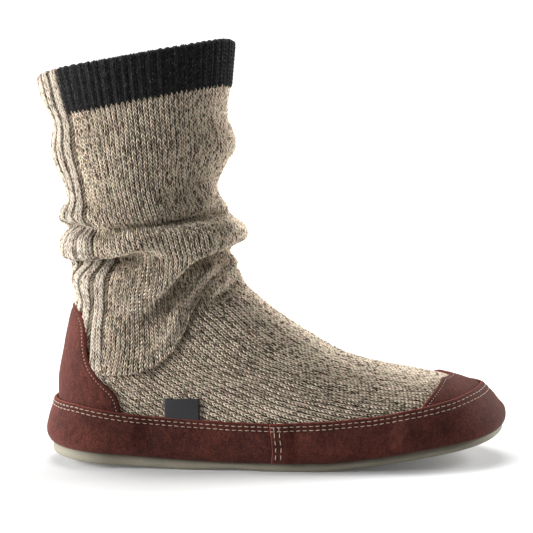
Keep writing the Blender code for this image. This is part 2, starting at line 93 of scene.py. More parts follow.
Ring = namedtuple("Ring", "name back_x back_z front_x front_z half_width shaft_share")
RINGS = [
    Ring("feather", 0.0058, 0.0105, 0.2640, 0.0208, 0.030, 0.0),
    Ring("toe wall low", 0.0052, 0.0172, 0.2660, 0.0272, 0.030, 0.0),
    Ring("toe wall", 0.0054, 0.0242, 0.2640, 0.0322, 0.030, 0.0),
    Ring("toe wall high", 0.0062, 0.0307, 0.2604, 0.0374, 0.030, 0.0),
    Ring("toe top", 0.0068, 0.0372, 0.2546, 0.0425, 0.030, 0.0),
    Ring("toe box", 0.0070, 0.0432, 0.2430, 0.0467, 0.030, 0.0),
    Ring("toe root", 0.0072, 0.0487, 0.2180, 0.0524, 0.031, 0.0),
    Ring("ball", 0.0078, 0.0540, 0.1940, 0.0573, 0.032, 0.0),
    Ring("vamp", 0.0088, 0.0600, 0.1725, 0.0645, 0.033, 0.05),
    Ring("instep", 0.0099, 0.0666, 0.1528, 0.0762, 0.034, 0.18),
    Ring("high instep", 0.0111, 0.0736, 0.1363, 0.0870, 0.035, 0.40),
    Ring("throat", 0.0130, 0.0816, 0.1232, 0.0976, 0.0358, 0.65),
    Ring("ankle low", 0.0150, 0.0904, 0.1152, 0.1073, 0.0365, 0.86),
    Ring("ankle", 0.0156, 0.1011, 0.1108, 0.1176, 0.0370, 1.0),
    Ring("ankle high", 0.0137, 0.1131, 0.1088, 0.1291, 0.0378, 1.0),
    Ring("roll", 0.0117, 0.1266, 0.1075, 0.1421, 0.0386, 1.0),
    Ring("shaft low", 0.0100, 0.1426, 0.1060, 0.1586, 0.0392, 1.0),
    Ring("shaft", 0.0080, 0.1606, 0.1050, 0.1771, 0.0374, 1.0),
    Ring("shaft high", 0.0050, 0.1796, 0.1060, 0.1966, 0.0382, 1.0),
    Ring("below cuff", 0.0008, 0.1996, 0.1068, 0.2186, 0.0398, 1.0),
    Ring("collar", -0.0048, 0.2241, 0.1090, 0.2457, 0.0410, 1.0),
]
TOP = len(RINGS) - 1

# How far the collar's rim stands above its plane, at even steps from the back to the front.
RIM_LIFTS = (0.0, 0.0019, 0.0029, 0.0028, 0.0026, 0.0020, 0.0010, -0.0012)
RIM_LIFT_TURN = np.pi / (len(RIM_LIFTS) - 1)
RIM_LIFT_ROWS = (17.6, 19.6)

Station = namedtuple("Station", "name x half_width centre_y")
STATIONS = [
    Station("heel end", 0.000, 0.0300, 0.0000),
    Station("heel", 0.030, 0.0322, -0.0004),
    Station("heel front", 0.060, 0.0334, -0.0022),
    Station("waist", 0.105, 0.0350, -0.0052),
    Station("joint", 0.145, 0.0396, -0.0044),
    Station("ball", 0.180, 0.0432, -0.0008),
    Station("toes", 0.215, 0.0432, 0.0026),
    Station("toe tip", 0.270, 0.0400, 0.0060),
]

# Folds that run round the shaft: ridges stand out, creases go in. Each has its height and its
# depth at six places round the leg (back, outer back, outer front, front, inner front, inner
# back), and how far it spreads above and below that line.
Fold = namedtuple("Fold", "name heights depths above below")
FOLDS = [
    Fold("crease under cuff", (0.1982, 0.1992, 0.2022, 0.2062, 0.2022, 0.1992),
         (-0.0030, -0.0012, -0.0006, -0.0012, -0.0010, -0.0014), 0.010, 0.008),
    Fold("upper swell", (0.1822, 0.1832, 0.1852, 0.1882, 0.1862, 0.1832),
         (0.0012, 0.0012, 0.0010, 0.0046, 0.0016, 0.0014), 0.009, 0.009),
    Fold("middle crease", (0.1582, 0.1592, 0.1602, 0.1612, 0.1602, 0.1592),
         (-0.0034, -0.0014, -0.0034, -0.0064, -0.0030, -0.0018), 0.011, 0.010),
    Fold("lower swell", (0.1442, 0.1452, 0.1472, 0.1482, 0.1472, 0.1452),
         (0.0036, 0.0028, 0.0026, 0.0008, 0.0008, 0.0018), 0.006, 0.006),
    Fold("crease over roll", (0.1376, 0.1376, 0.1426, 0.1446, 0.1426, 0.1376),
         (-0.0040, -0.0008, -0.0012, -0.0044, -0.0030, -0.0026), 0.0050, 0.0035),
    Fold("roll", (0.1288, 0.1296, 0.1344, 0.1374, 0.1324, 0.1284),
         (0.0044, 0.0072, 0.0074, 0.0092, 0.0064, 0.0064), 0.0085, 0.0085),
    Fold("crease under roll", (0.1166, 0.1182, 0.1226, 0.1252, 0.1206, 0.1166),
         (-0.0012, -0.0004, -0.0002, -0.0032, -0.0022, -0.0050), 0.0045, 0.0052),
    Fold("ankle ridge", (0.1066, 0.1066, 0.1146, 0.1146, 0.1146, 0.1046),
         (0.0014, 0.0022, 0.0008, 0.0008, 0.0012, 0.0018), 0.0060, 0.0080),
    Fold("ankle crease", (0.0996, 0.0736, 0.1046, 0.1080, 0.1066, 0.0736),
         (-0.0014, -0.0004, -0.0030, -0.0012, -0.0040, -0.0004), 0.0090, 0.0090),
]
FOLDS_FADE_Z = (0.075, 0.099)

# Slanting creases and ridges of the slouched ankle, each a line seen from the side. Its points
# give x, z and how strong it is there; behind and ahead are its spreads on either side.
Wrinkle = namedtuple("Wrinkle", "name depth behind ahead points")
WRINKLES = [
    Wrinkle("crease over the roll", -0.0086, 0.0024, 0.0032, (
        (0.0120, 0.1402, 0.9), (0.0200, 0.1398, 0.8), (0.0300, 0.1384, 0.55), (0.0388, 0.1380, 0.5),
        (0.0475, 0.1398, 0.6), (0.0561, 0.1412, 0.8), (0.0666, 0.1426, 0.95), (0.0771, 0.1436, 1.0),
        (0.0902, 0.1452, 1.0), (0.1005, 0.1464, 1.0), (0.1060, 0.1466, 0.8))),
    Wrinkle("roll rim", 0.0040, 0.0060, 0.0016, (
        (0.0350, 0.1360, 0.0), (0.0475, 0.1376, 0.6), (0.0600, 0.1393, 0.9), (0.0700, 0.1405, 1.0),
        (0.0850, 0.1424, 1.0), (0.1000, 0.1446, 1.0), (0.1060, 0.1446, 0.6))),
    Wrinkle("roll lip", 0.0036, 0.0024, 0.0050, (
        (0.0120, 0.1240, 0.6), (0.0310, 0.1252, 1.0), (0.0414, 0.1276, 1.0), (0.0510, 0.1308, 0.7),
        (0.0580, 0.1332, 0.3), (0.0640, 0.1350, 0.0))),
    Wrinkle("tuck under the roll", -0.0155, 0.0056, 0.0044, (
        (0.0120, 0.1176, 0.5), (0.0227, 0.1188, 0.75), (0.0310, 0.1200, 0.95), (0.0414, 0.1214, 1.0),
        (0.0500, 0.1230, 0.95), (0.0560, 0.1244, 0.75), (0.0610, 0.1254, 0.45), (0.0655, 0.1258, 0.15),
        (0.0685, 0.1260, 0.0))),
    Wrinkle("fullness under the tuck", 0.0026, 0.0050, 0.0030, (
        (0.0680, 0.1226, 0.3), (0.0640, 0.1206, 1.0), (0.0570, 0.1170, 0.9), (0.0480, 0.1140, 0.6),
        (0.0380, 0.1120, 0.2))),
    Wrinkle("ankle drape ridge", 0.0066, 0.0090, 0.0030, (
        (0.1040, 0.1316, 0.3), (0.0985, 0.1306, 0.7), (0.0920, 0.1290, 0.9), (0.0862, 0.1252, 1.0),
        (0.0808, 0.1205, 1.0), (0.0758, 0.1150, 1.0), (0.0708, 0.1092, 0.9), (0.0664, 0.1046, 0.8),
        (0.0612, 0.0996, 0.6), (0.0560, 0.0944, 0.4), (0.0510, 0.0890, 0.0))),
    Wrinkle("ankle drape valley", -0.0120, 0.0034, 0.0074, (
        (0.1070, 0.1276, 0.5), (0.1010, 0.1266, 0.9), (0.0948, 0.1250, 1.0), (0.0892, 0.1206, 1.0),
        (0.0846, 0.1160, 1.0), (0.0798, 0.1110, 1.0), (0.0754, 0.1060, 0.95), (0.0712, 0.1010, 0.85),
        (0.0660, 0.0962, 0.7), (0.0600, 0.0912, 0.4), (0.0540, 0.0870, 0.1))),
    Wrinkle("seam fullness", 0.0038, 0.0040, 0.0036, (
        (0.1095, 0.1240, 0.0), (0.1045, 0.1232, 0.35), (0.0987, 0.1196, 0.9), (0.0930, 0.1146, 1.0),
        (0.0876, 0.1085, 1.0), (0.0833, 0.1020, 1.0), (0.0800, 0.0960, 1.0), (0.0770, 0.0890, 0.9),
        (0.0738, 0.0800, 0.8), (0.0700, 0.0725, 0.8), (0.0640, 0.0662, 0.7), (0.0550, 0.0615, 0.6),
        (0.0420, 0.0585, 0.5), (0.0300, 0.0580, 0.2))),
    Wrinkle("instep crease", -0.0032, 0.0030, 0.0040, (
        (0.1120, 0.1072, 1.0), (0.1055, 0.1043, 1.0), (0.0998, 0.0996, 0.6), (0.0955, 0.0948, 0.0))),
    Wrinkle("ankle swell", 0.0024, 0.0140, 0.0140, (
        (0.0420, 0.0860, 0.3), (0.0440, 0.0760, 1.0), (0.0480, 0.0680, 0.8))),
    Wrinkle("shaft hollow", -0.0040, 0.0110, 0.0110, (
        (0.0900, 0.1790, 0.2), (0.0850, 0.1690, 1.0), (0.0800, 0.1580, 0.8), (0.0700, 0.1520, 0.1))),
    Wrinkle("shaft swell", 0.0016, 0.0100, 0.0100, (
        (0.0560, 0.2020, 0.2), (0.0500, 0.1880, 1.0), (0.0460, 0.1700, 0.8), (0.0440, 0.1560, 0.1))),
]
SIDE_SHARES = (0.05, 0.45)
SAG = 0.35
SAG_FROM = 0.001
RIM_STANDS = 1.35
RIM_SIDES = (0.15, 0.60)
RIM_RISES_Z = (0.1300, 0.1365)
RIM_FADES_Z = (0.1450, 0.1550)
FOLD_POWER = 2.5
INNER_WRINKLES = 0.75

# Outlines of the heel counter, the toe cap and the foxing's top edge as seen from the side.
Edge = namedtuple("Edge", "z x")
COUNTER_EDGE = [
    Edge(0.0276, 0.0446), Edge(0.0376, 0.0434), Edge(0.0416, 0.0420), Edge(0.0454, 0.0397),
    Edge(0.0487, 0.0356), Edge(0.0527, 0.0318), Edge(0.0573, 0.0285), Edge(0.0608, 0.0261),
    Edge(0.0667, 0.0245), Edge(0.0736, 0.0240), Edge(0.0806, 0.0236), Edge(0.0850, 0.0224),
    Edge(0.0884, 0.0203), Edge(0.0908, 0.0180), Edge(0.0924, 0.0156),
]
COUNTER_TIP_ROW = 12.25
CAP_EDGE = [
    Edge(0.0306, 0.2140), Edge(0.0376, 0.2195), Edge(0.0416, 0.2237), Edge(0.0447, 0.2274),
    Edge(0.0485, 0.2322), Edge(0.0502, 0.2345),
]
CAP_TOP_ROW = 5.25
FOXING_TOP = [
    Edge(0.0374, 0.000), Edge(0.0372, 0.020), Edge(0.0338, 0.041), Edge(0.0315, 0.061),
    Edge(0.0303, 0.080), Edge(0.0288, 0.108), Edge(0.0283, 0.132), Edge(0.0292, 0.160),
    Edge(0.0312, 0.188), Edge(0.0349, 0.217), Edge(0.0382, 0.236), Edge(0.0410, 0.248),
    Edge(0.0436, 0.262),
]
SIDE_SEAM_X = 0.1315
COUNTER_UNDER_X = (0.050, 0.062)
CAP_UNDER_X = (0.198, 0.210)
OVERLAY_ROOM = 0.0018
LABEL_X = (0.0694, 0.0899)
LABEL_TOP_Z = 0.0421

# The seam where the shaft is joined to the foot, from the shin down to the counter.
SEAM = [
    Edge(0.1160, 0.1120), Edge(0.1134, 0.1100), Edge(0.1111, 0.1041), Edge(0.1063, 0.0969),
    Edge(0.1010, 0.0921), Edge(0.0941, 0.0868), Edge(0.0861, 0.0831), Edge(0.0788, 0.0801),
    Edge(0.0723, 0.0765), Edge(0.0664, 0.0714), Edge(0.0613, 0.0654), Edge(0.0577, 0.0582),
    Edge(0.0553, 0.0495), Edge(0.0545, 0.0400), Edge(0.0540, 0.0284),
]

# The knit: one stitch is WALE wide and COURSE high.
WALE = 0.0029
COURSE = 0.00225
CHEVRON = 2.5
FOOT_WALE = 0.0030
FOOT_CHEVRON = 2.4
FOOT_RELIEF = 0.85
STITCH_COLUMNS = 6
STITCH_ROWS = 4
LOOP_HEIGHT = 0.0017
LOOP_PROUD = 0.0005
LOOP_POWER = 0.8
LEG_RISE = (-0.04, 0.20)
HEAD_LOW = 0.30
HEAD_FALL = (0.36, 0.5)
UNEVEN = 0.00015
UNEVEN_TURNS = ((2.3, 0.31), (0.17, -0.83))
CUFF_COURSES = 11.5
INSIDE_COURSES = -13


# ---------------------------------------------------------------------------
# Curves and the sock's surface.
def smooth_step(value, start, end):
    """Rises from 0 at start to 1 at end with no corner, as 3 u squared less 2 u cubed."""
    u = np.clip((value - start) / (end - start), 0.0, 1.0)
    return u * u * (3.0 - 2.0 * u)


def curve(before, start, end, after, u):
    """The cubic from start to end at u, whose slopes there follow the values on either side."""
    return start + 0.5 * u * (end - before + u * (
        2.0 * before - 5.0 * start + 4.0 * end - after + u * (3.0 * (start - end) + after - before)))


def through_rows(values, row):
    """Reads a column of a table at a fractional row, on a curve through the rows."""
    values = np.asarray(values, float)
    row = np.clip(row, 0.0, len(values) - 1.0)
    low = np.minimum(row.astype(int), len(values) - 2)
    before, after = values[np.maximum(low - 1, 0)], values[np.minimum(low + 2, len(values) - 1)]
    return curve(before, values[low], values[low + 1], after, row - low)


def along_x(stations, column, x):
    """Reads a column of the stations at x, on a curve through them."""
    rows = np.interp(x, [station.x for station in stations], np.arange(len(stations)))
    return through_rows([getattr(station, column) for station in stations], rows)


def edge_at(edges, z):
    """How far forward an outline given by its edges lies at height z."""
    return np.interp(z, [edge.z for edge in edges], [edge.x for edge in edges])


def round_end(distance, radius):
    """Closes an outline with a quarter ellipse that is radius long."""
    u = np.clip(1.0 - distance / radius, 0.0, 1.0)
    return np.sqrt(1.0 - u ** ROUND_POWER)


def toe_spring(x):
    run = np.clip((x - SPRING_START_X) / (FOOT_LENGTH - SPRING_START_X), 0.0, 1.0)
    return TOE_SPRING * run ** SPRING_CURVE


def heel_rise(x, height, reach, power):
    """height at the back of the heel, falling to 0 at reach as a power of the way."""
    return height * np.clip(1.0 - x / reach, 0.0, 1.0) ** power


def sole_bottom(x):
    """Underside of the sole: flat at heel and ball, a low arch, heel bevel and toe spring."""
    middle = 0.5 * (ARCH_X[0] + ARCH_X[1])
    half = 0.5 * (ARCH_X[1] - ARCH_X[0])
    arch = ARCH_RISE * np.clip(1.0 - ((x - middle) / half) ** 2, 0.0, 1.0) ** 2
    return heel_rise(x, HEEL_LIFT, HEEL_LIFT_X, HEEL_LIFT_CURVE) + arch + toe_spring(x)


def sole_top(x):
    """Top of the sole, which rises a little more than its underside at the heel."""
    rise = heel_rise(x, HEEL_TOP_LIFT, HEEL_TOP_LIFT_X, HEEL_TOP_CURVE)
    return SOLE_THICKNESS + rise + toe_spring(x)


def ring_column(column, row):
    return through_rows([getattr(ring, column) for ring in RINGS], row)


def ridge_height(x):
    """Height of the front outline over x, from the toe back to the shin."""
    rows = np.linspace(0.0, TOP, RIDGE_STEPS)
    fronts, heights = ring_column("front_x", rows), ring_column("front_z", rows)
    foot = (rows > FOOT_ROWS[0]) & (rows < FOOT_ROWS[1])
    order = np.argsort(fronts[foot])
    behind = np.maximum(SHIN_X - x, 0.0)
    return np.interp(x, fronts[foot][order], heights[foot][order]) + CROWN + SHIN_SLOPE * behind


def smooth_sock(row, angle):
    """The sock without folds. row is a place in the rings, and angle goes round each one: 0 at
    the back, pi / 2 on the outer side, pi at the front. Foot rings are as wide as the plan
    outline, closed towards the ridge as an arch; shaft rings are nearly ellipses."""
    row, angle = np.broadcast_arrays(np.asarray(row, float), np.asarray(angle, float))
    back_x, front_x = ring_column("back_x", row), ring_column("front_x", row)
    back_z, front_z = ring_column("back_z", row), ring_column("front_z", row)
    share = np.clip(ring_column("shaft_share", row), 0.0, 1.0)
    forward = 0.5 * (1.0 - np.cos(angle))
    x = back_x + (front_x - back_x) * forward
    z = back_z + (front_z - back_z) * forward
    feather = RINGS[0]
    chord = np.interp(x, [feather.back_x, feather.front_x], [feather.back_z, feather.front_z])
    z = z + (sole_top(x) + GAP - chord) * (1.0 - smooth_step(row, 0.0, FEATHER_ROWS))
    lift = through_rows(RIM_LIFTS, np.abs(np.mod(angle + np.pi, 2.0 * np.pi) - np.pi) / RIM_LIFT_TURN)
    z = z + lift * smooth_step(row, *RIM_LIFT_ROWS)

    half = along_x(STATIONS, "half_width", x)
    half = half * round_end(x - back_x, HEEL_ROUND) * round_end(TOE_END_X - x, TOE_ROUND)
    base = sole_top(x) + ARCH_START
    rise = np.clip((z - base) / np.maximum(ridge_height(x) - base, LOWEST_ARCH), 0.0, 1.0)
    arch = np.sqrt(np.clip(1.0 - rise ** ARCH_POWER, 0.0, 1.0))
    foot_y = half * arch * np.sqrt(np.clip(1.0 - forward ** TOE_POWER, 0.0, 1.0))
    shaft_y = ring_column("half_width", row) * np.abs(np.sin(angle)) ** SHAFT_POWER
    across = (1.0 - share) * foot_y + share * shaft_y
    centre = along_x(STATIONS, "centre_y", x) * (1.0 - share)
    y = centre - np.sign(np.sin(angle)) * across
    return np.stack([x, y, z], axis=-1)


def outward(surface, row, angle):
    """Unit normal of a surface of row and angle, from its slopes both ways."""
    low, high = np.maximum(row - ROW_STEP, 0.0), np.minimum(row + ROW_STEP, float(TOP))
    up = surface(high, angle) - surface(low, angle)
    around = surface(row, angle + SMALL_STEP) - surface(row, angle - SMALL_STEP)
    return unit(np.cross(around, up))


def unit(vectors):
    return vectors / np.maximum(np.linalg.norm(vectors, axis=-1, keepdims=True), 1e-12)


def round_leg(values, angle):
    """Reads six values set at equal steps round the leg, easing from each to the next."""
    values = np.asarray(values, float)
    turn = np.mod(angle / (2.0 * np.pi) * len(values), len(values))
    low = np.minimum(turn.astype(int), len(values) - 1)
    mix = smooth_step(turn - low, 0.0, 1.0)
    return values[low] * (1.0 - mix) + values[(low + 1) % len(values)] * mix


def fold_depth(points, angle):
    """How far the folds push the sock out: the sum of each fold's bell curve over height."""
    z = points[..., 2]
    total = np.zeros(z.shape)
    for fold in FOLDS:
        away = z - round_leg(fold.heights, angle)
        spread = np.where(away > 0.0, fold.above, fold.below)
        total += round_leg(fold.depths, angle) * np.exp(-np.abs(away / spread) ** FOLD_POWER)
    return total * smooth_step(z, *FOLDS_FADE_Z)


def wrinkle_depth(points, wrinkle):
    """A bell curve over the distance to a line in the side view, wider on one of its sides."""
    best = np.zeros(points.shape[:-1])
    for (ax, az, a_power), (bx, bz, b_power) in zip(wrinkle.points, wrinkle.points[1:]):
        run_x, run_z = bx - ax, bz - az
        from_x, from_z = points[..., 0] - ax, points[..., 2] - az
        u = np.clip((from_x * run_x + from_z * run_z) / (run_x ** 2 + run_z ** 2), 0.0, 1.0)
        away = np.hypot(from_x - u * run_x, from_z - u * run_z)
        ahead = run_x * from_z - run_z * from_x > 0.0
        spread = np.where(ahead, wrinkle.ahead, wrinkle.behind)
        best = np.maximum(best, (a_power + (b_power - a_power) * u) * np.exp(-(away / spread) ** 2))
    return wrinkle.depth * best


def wrinkles_depth(points, angle):
    """All wrinkles: full on the outer side, softer on the inner side, none at back and front."""
    side = np.sin(angle)
    share = smooth_step(side, *SIDE_SHARES) + INNER_WRINKLES * smooth_step(-side, *SIDE_SHARES)
    return share * sum(wrinkle_depth(points, wrinkle) for wrinkle in WRINKLES)


def sock_surface(row, angle):
    """The sock's outside: the smooth sock pushed along its normal by folds and wrinkles. What
    stands out also hangs down, by SAG of how far it stands out, except along the top of the
    roll at the sides, which stands up a little."""
    row, angle = np.broadcast_arrays(np.asarray(row, float), np.asarray(angle, float))
    points = smooth_sock(row, angle)
    z = points[..., 2]
    depth = fold_depth(points, angle) + wrinkles_depth(points, angle)
    rim = smooth_step(z, *RIM_RISES_Z) * (1.0 - smooth_step(z, *RIM_FADES_Z))
    hang = SAG * (1.0 - RIM_STANDS * rim * smooth_step(np.abs(np.sin(angle)), *RIM_SIDES))
    moved = points + outward(smooth_sock, row, angle) * depth[..., None]
    moved[..., 2] -= hang * np.maximum(depth - SAG_FROM, 0.0) * smooth_step(z, *FOLDS_FADE_Z)
    return moved


def on_sock(rows, angles, distance=0.0):
    """Points at a distance outside the sock, and its normals there."""
    rows, angles = np.broadcast_arrays(np.asarray(rows, float), np.asarray(angles, float))
    normals = outward(sock_surface, rows, angles)
    return sock_surface(rows, angles) + normals * np.asarray(distance)[..., None], normals


def halve(low, high, above):
    """Finds by halving where above(value) turns from false to true, for whole arrays."""
    for _ in range(HALVINGS):
        middle = 0.5 * (low + high)
        over = above(middle)
        low, high = np.where(over, low, middle), np.where(over, middle, high)
    return 0.5 * (low + high)


def row_at_height(angle, height_over_x, top_row=8.0):
    """The row where the sock reaches a height that depends on x."""
    def above(row):
        points = smooth_sock(row, angle)
        return points[..., 2] > height_over_x(points[..., 0])
    return halve(np.zeros_like(angle), np.full_like(angle, top_row), above)


def side_place(x, z):
    """Row and angle on the outer side for a point seen from the side, found in turns."""
    x, z = np.broadcast_arrays(np.asarray(x, float), np.asarray(z, float))
    angle = np.full(x.shape, 0.5 * np.pi)
    for _ in range(HALVINGS):
        row = row_at_height(angle, lambda _, height=z: height, float(TOP))
        back_x, front_x = ring_column("back_x", row), ring_column("front_x", row)
        forward = np.clip((x - back_x) / (front_x - back_x), 0.0, 1.0)
        angle = 0.5 * angle + 0.5 * np.arccos(1.0 - 2.0 * forward)
    return row, angle


def foxing_top(x):
    return np.interp(x, [edge.x for edge in FOXING_TOP], [edge.z for edge in FOXING_TOP])


def hidden_line(x, share):
    """A height behind the foxing, from the sole's top at share 0 to the foxing's edge at 1."""
    return sole_top(x) + share * (foxing_top(x) - sole_top(x))


# ---------------------------------------------------------------------------
# Meshes.
def make_piece(name, points, faces, finish, slot, node=None, maps=None, values=None):
    """A mesh object in the frame that rides on the body and may stand for a CAD node. faces
    is an array of four corners each, where a repeated last corner means a triangle. maps
    holds named UV arrays and values holds named numbers, both one for each point."""
    faces = np.asarray(faces)
    used, faces = np.unique(faces, return_inverse=True)
    faces = faces.reshape(-1, 4)
    points = np.asarray(points, float).reshape(-1, 3)[used] - (ORIGIN_X, ORIGIN_Y, 0.0)
    three = faces[:, 2] == faces[:, 3]
    sizes = np.where(three, 3, 4)
    corners = faces[np.arange(4)[None, :] < sizes[:, None]]

    mesh = bpy.data.meshes.new(name)
    mesh.vertices.add(len(points))
    mesh.vertices.foreach_set("co", points.astype(np.float32).ravel())
    mesh.loops.add(len(corners))
    mesh.loops.foreach_set("vertex_index", corners.astype(np.int32))
    mesh.polygons.add(len(faces))
    mesh.polygons.foreach_set("loop_start", np.concatenate([[0], np.cumsum(sizes)[:-1]]).astype(np.int32))
    mesh.update(calc_edges=True)
    for label, uv in (maps or {}).items():
        layer = mesh.uv_layers.new(name=label)
        flat = np.asarray(uv, float).reshape(-1, 2)[used][corners]
        layer.uv.foreach_set("vector", flat.astype(np.float32).ravel())
    for label, numbers in (values or {}).items():
        layer = mesh.attributes.new(label, "FLOAT", "POINT")
        layer.data.foreach_set("value", np.asarray(numbers, float).ravel()[used].astype(np.float32))
    mesh.validate()
    mesh.shade_smooth()
    mesh.materials.append(finish)
    piece = bpy.data.objects.new(name, mesh)
    bpy.context.scene.collection.objects.link(piece)
    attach(piece, "root")
    if node:
        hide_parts(node)
    return piece


def grid_faces(rows, columns, wrap=False, names=None):
    """Quads of a grid that runs row by row. wrap joins the last column to the first. names
    gives each point's number, so that points drawn together share one; what collapses to a
    line is dropped and what collapses to a triangle becomes one."""
    names = np.arange(rows * columns).reshape(rows, columns) if names is None else names
    if wrap:
        names = np.concatenate([names, names[:, :1]], axis=1)
    a, b = names[:-1, :-1].ravel(), names[:-1, 1:].ravel()
    c, d = names[1:, 1:].ravel(), names[1:, :-1].ravel()
    flat = ((a == d) & (b == c)) | ((a == b) & (c == d)) | (a == c) | (b == d)
    quads = np.stack([a, b, c, d], axis=1)[~flat]
    a, b, c, d = quads.T
    shared = np.where(a == d, 3, np.where(b == c, 2, np.where(a == b, 1, 0)))
    tidy = quads.copy()
    tidy[shared == 3] = np.stack([a, b, c, c], axis=1)[shared == 3]
    tidy[shared == 2] = np.stack([a, b, d, d], axis=1)[shared == 2]
    tidy[shared == 1] = np.stack([a, c, d, d], axis=1)[shared == 1]
    return tidy


def flipped(faces):
    """The same faces seen from the other side."""
    three = faces[:, 2] == faces[:, 3]
    turned = faces[:, ::-1].copy()
    turned[three] = faces[three][:, [1, 0, 2, 2]]
    return turned


def joined(parts):
    """Several grids and their faces as one set of points and faces."""
    points, faces, count = [], [], 0
    for part, part_faces in parts:
        points.append(part.reshape(-1, 3))
        faces.append(part_faces + count)
        count += len(points[-1])
    return np.concatenate(points), np.concatenate(faces)


def read_rows(values, places):
    """Reads a stack of rows at fractional places, one set of places for each column, on a
    curve through the rows. values is rows by columns by parts; places is rows by columns."""
    count = values.shape[0]
    places = np.clip(places, 0.0, count - 1.0)
    low = np.minimum(places.astype(int), count - 2)
    u = (places - low)[..., None]
    column = np.arange(values.shape[1])[None, :]
    before, after = values[np.maximum(low - 1, 0), column], values[np.minimum(low + 2, count - 1), column]
    return curve(before, values[low, column], values[low + 1, column], after, u)


def lengths_down(points):
    """Length along each column of a grid, from its first row."""
    steps = np.linalg.norm(np.diff(points, axis=0), axis=-1)
    return np.concatenate([np.zeros((1, points.shape[1])), np.cumsum(steps, axis=0)])


def places_at(lengths, wanted):
    """For each column, the fractional rows where its length reaches the wanted values."""
    rows = np.arange(lengths.shape[0])
    return np.stack([
        np.interp(wanted[:, i], lengths[:, i], rows) for i in range(lengths.shape[1])
    ], axis=1)


def facing(points, faces, normals):
    """Turns the faces over if they look against the given normals."""
    flat, out = points.reshape(-1, 3), normals.reshape(-1, 3)
    corner = flat[faces]
    looks = np.cross(corner[:, 2] - corner[:, 0], corner[:, 3] - corner[:, 1])
    thin = faces[:, 2] == faces[:, 3]
    looks[thin] = np.cross(corner[thin, 1] - corner[thin, 0], corner[thin, 2] - corner[thin, 1])
    return faces if (looks * out[faces[:, 0]]).sum() > 0.0 else flipped(faces)


# ---------------------------------------------------------------------------
# Knit. A panel's base grid has one column for each line along the wales; length is measured
# down every column, and the stitches are laid along it.
Panel = namedtuple("Panel", "points normals lengths wales first last")


def lay_stitches(panel, relief, lift, start=None, end=None, chevron=CHEVRON):
    """The fine grid of a knitted panel. Its rows are lines of equal phase, where phase is
    length over COURSE plus chevron times the distance from the middle of the wale, so every
    row zigzags as the loops do. Columns are drawn together where they pass the panel's first
    or last length; a start or end course cuts it along a zigzag instead. Each point stands
    off the base by relief(wale, across, phase) plus lift(length, first, last). Returns
    points, faces and stitch coordinates."""
    across = np.abs(np.mod(panel.wales, 1.0) - 0.5)
    start = np.floor(panel.first.min() / COURSE) if start is None else start
    end = np.ceil(panel.last.max() / COURSE + 0.5 * chevron) if end is None else end
    phase = np.linspace(start, end, int(round((end - start) * STITCH_ROWS)) + 1)[:, None]
    wanted = COURSE * (phase - chevron * across[None, :])
    length = np.clip(wanted, panel.first, panel.last)
    places = places_at(panel.lengths, length)
    points, normals = read_rows(panel.points, places), unit(read_rows(panel.normals, places))

    index = np.arange(length.size).reshape(length.shape)
    row = np.arange(len(phase))[:, None]
    before = (wanted <= panel.first).sum(axis=0) - 1
    after = (wanted < panel.last).sum(axis=0)
    row = np.clip(row, np.maximum(before, 0), np.maximum(np.minimum(after, len(phase) - 1), 0))
    names = index[row, np.arange(length.shape[1])[None, :]]

    height = relief(panel.wales[None, :], across[None, :], phase)
    height = height + lift(length, panel.first, panel.last)
    points = points + normals * height[..., None]
    faces = facing(points, grid_faces(*names.shape, names=names), normals)
    stitches = np.stack(np.broadcast_arrays(panel.wales[None, :], phase), axis=-1)
    return points, faces, stitches


def make_knit(name, panel, relief, lift, yarn, slot="knit", **laid):
    points, faces, stitches = lay_stitches(panel, relief, lift, **laid)
    make_piece(name, points, faces, yarn, slot, "upper", {"stitches": stitches})


def loop_shape(across, phase):
    """Height of a loop's leg from 0 to 1. Over the wale it rises from the gap between wales
    and stays up to the loop's head; over its thickness it is half a sine."""
    leg = smooth_step(across, *LEG_RISE) * (1.0 - HEAD_LOW * smooth_step(across, *HEAD_FALL))
    return np.abs(np.sin(np.pi * phase)) ** LOOP_POWER * leg


def plain_knit(wale, across, phase):
    """Stocking stitch: loops whose backs stand just proud of the sock, slightly uneven."""
    (a, b), (c, d) = UNEVEN_TURNS
    uneven = UNEVEN * np.sin(a * wale + b * phase) * np.sin(c * wale + d * phase)
    return LOOP_PROUD - LOOP_HEIGHT * (1.0 - loop_shape(across, phase)) + uneven


def foot_knit(wale, across, phase):
    """The foot's knit is stretched flatter than the shaft's."""
    return LOOP_PROUD + FOOT_RELIEF * (plain_knit(wale, across, phase) - LOOP_PROUD)


def shaft_knit(wale, across, phase):
    """Stocking stitch whose first and last wales go in to meet the furrows of the back ribs."""
    from_ribs = np.minimum(wale, 2.0 * HALF_WALES - wale)
    return plain_knit(wale, across, phase) - MEET_DEPTH * (1.0 - smooth_step(from_ribs, 0.0, MEET_WALES))


RIB_PROUD = 0.0006
RIB_LOOPS = 0.0008
RIB_CROWN = 0.0008
RIB_DEPTH = 0.0030
FURROW = (0.30, 0.5)
FURROW_FLAT = 0.6
ROLL_COURSE = 48.0
ROLL_COURSES = 6.5
ROLL_FLAT = 0.65
WALES_A_RIB = 3


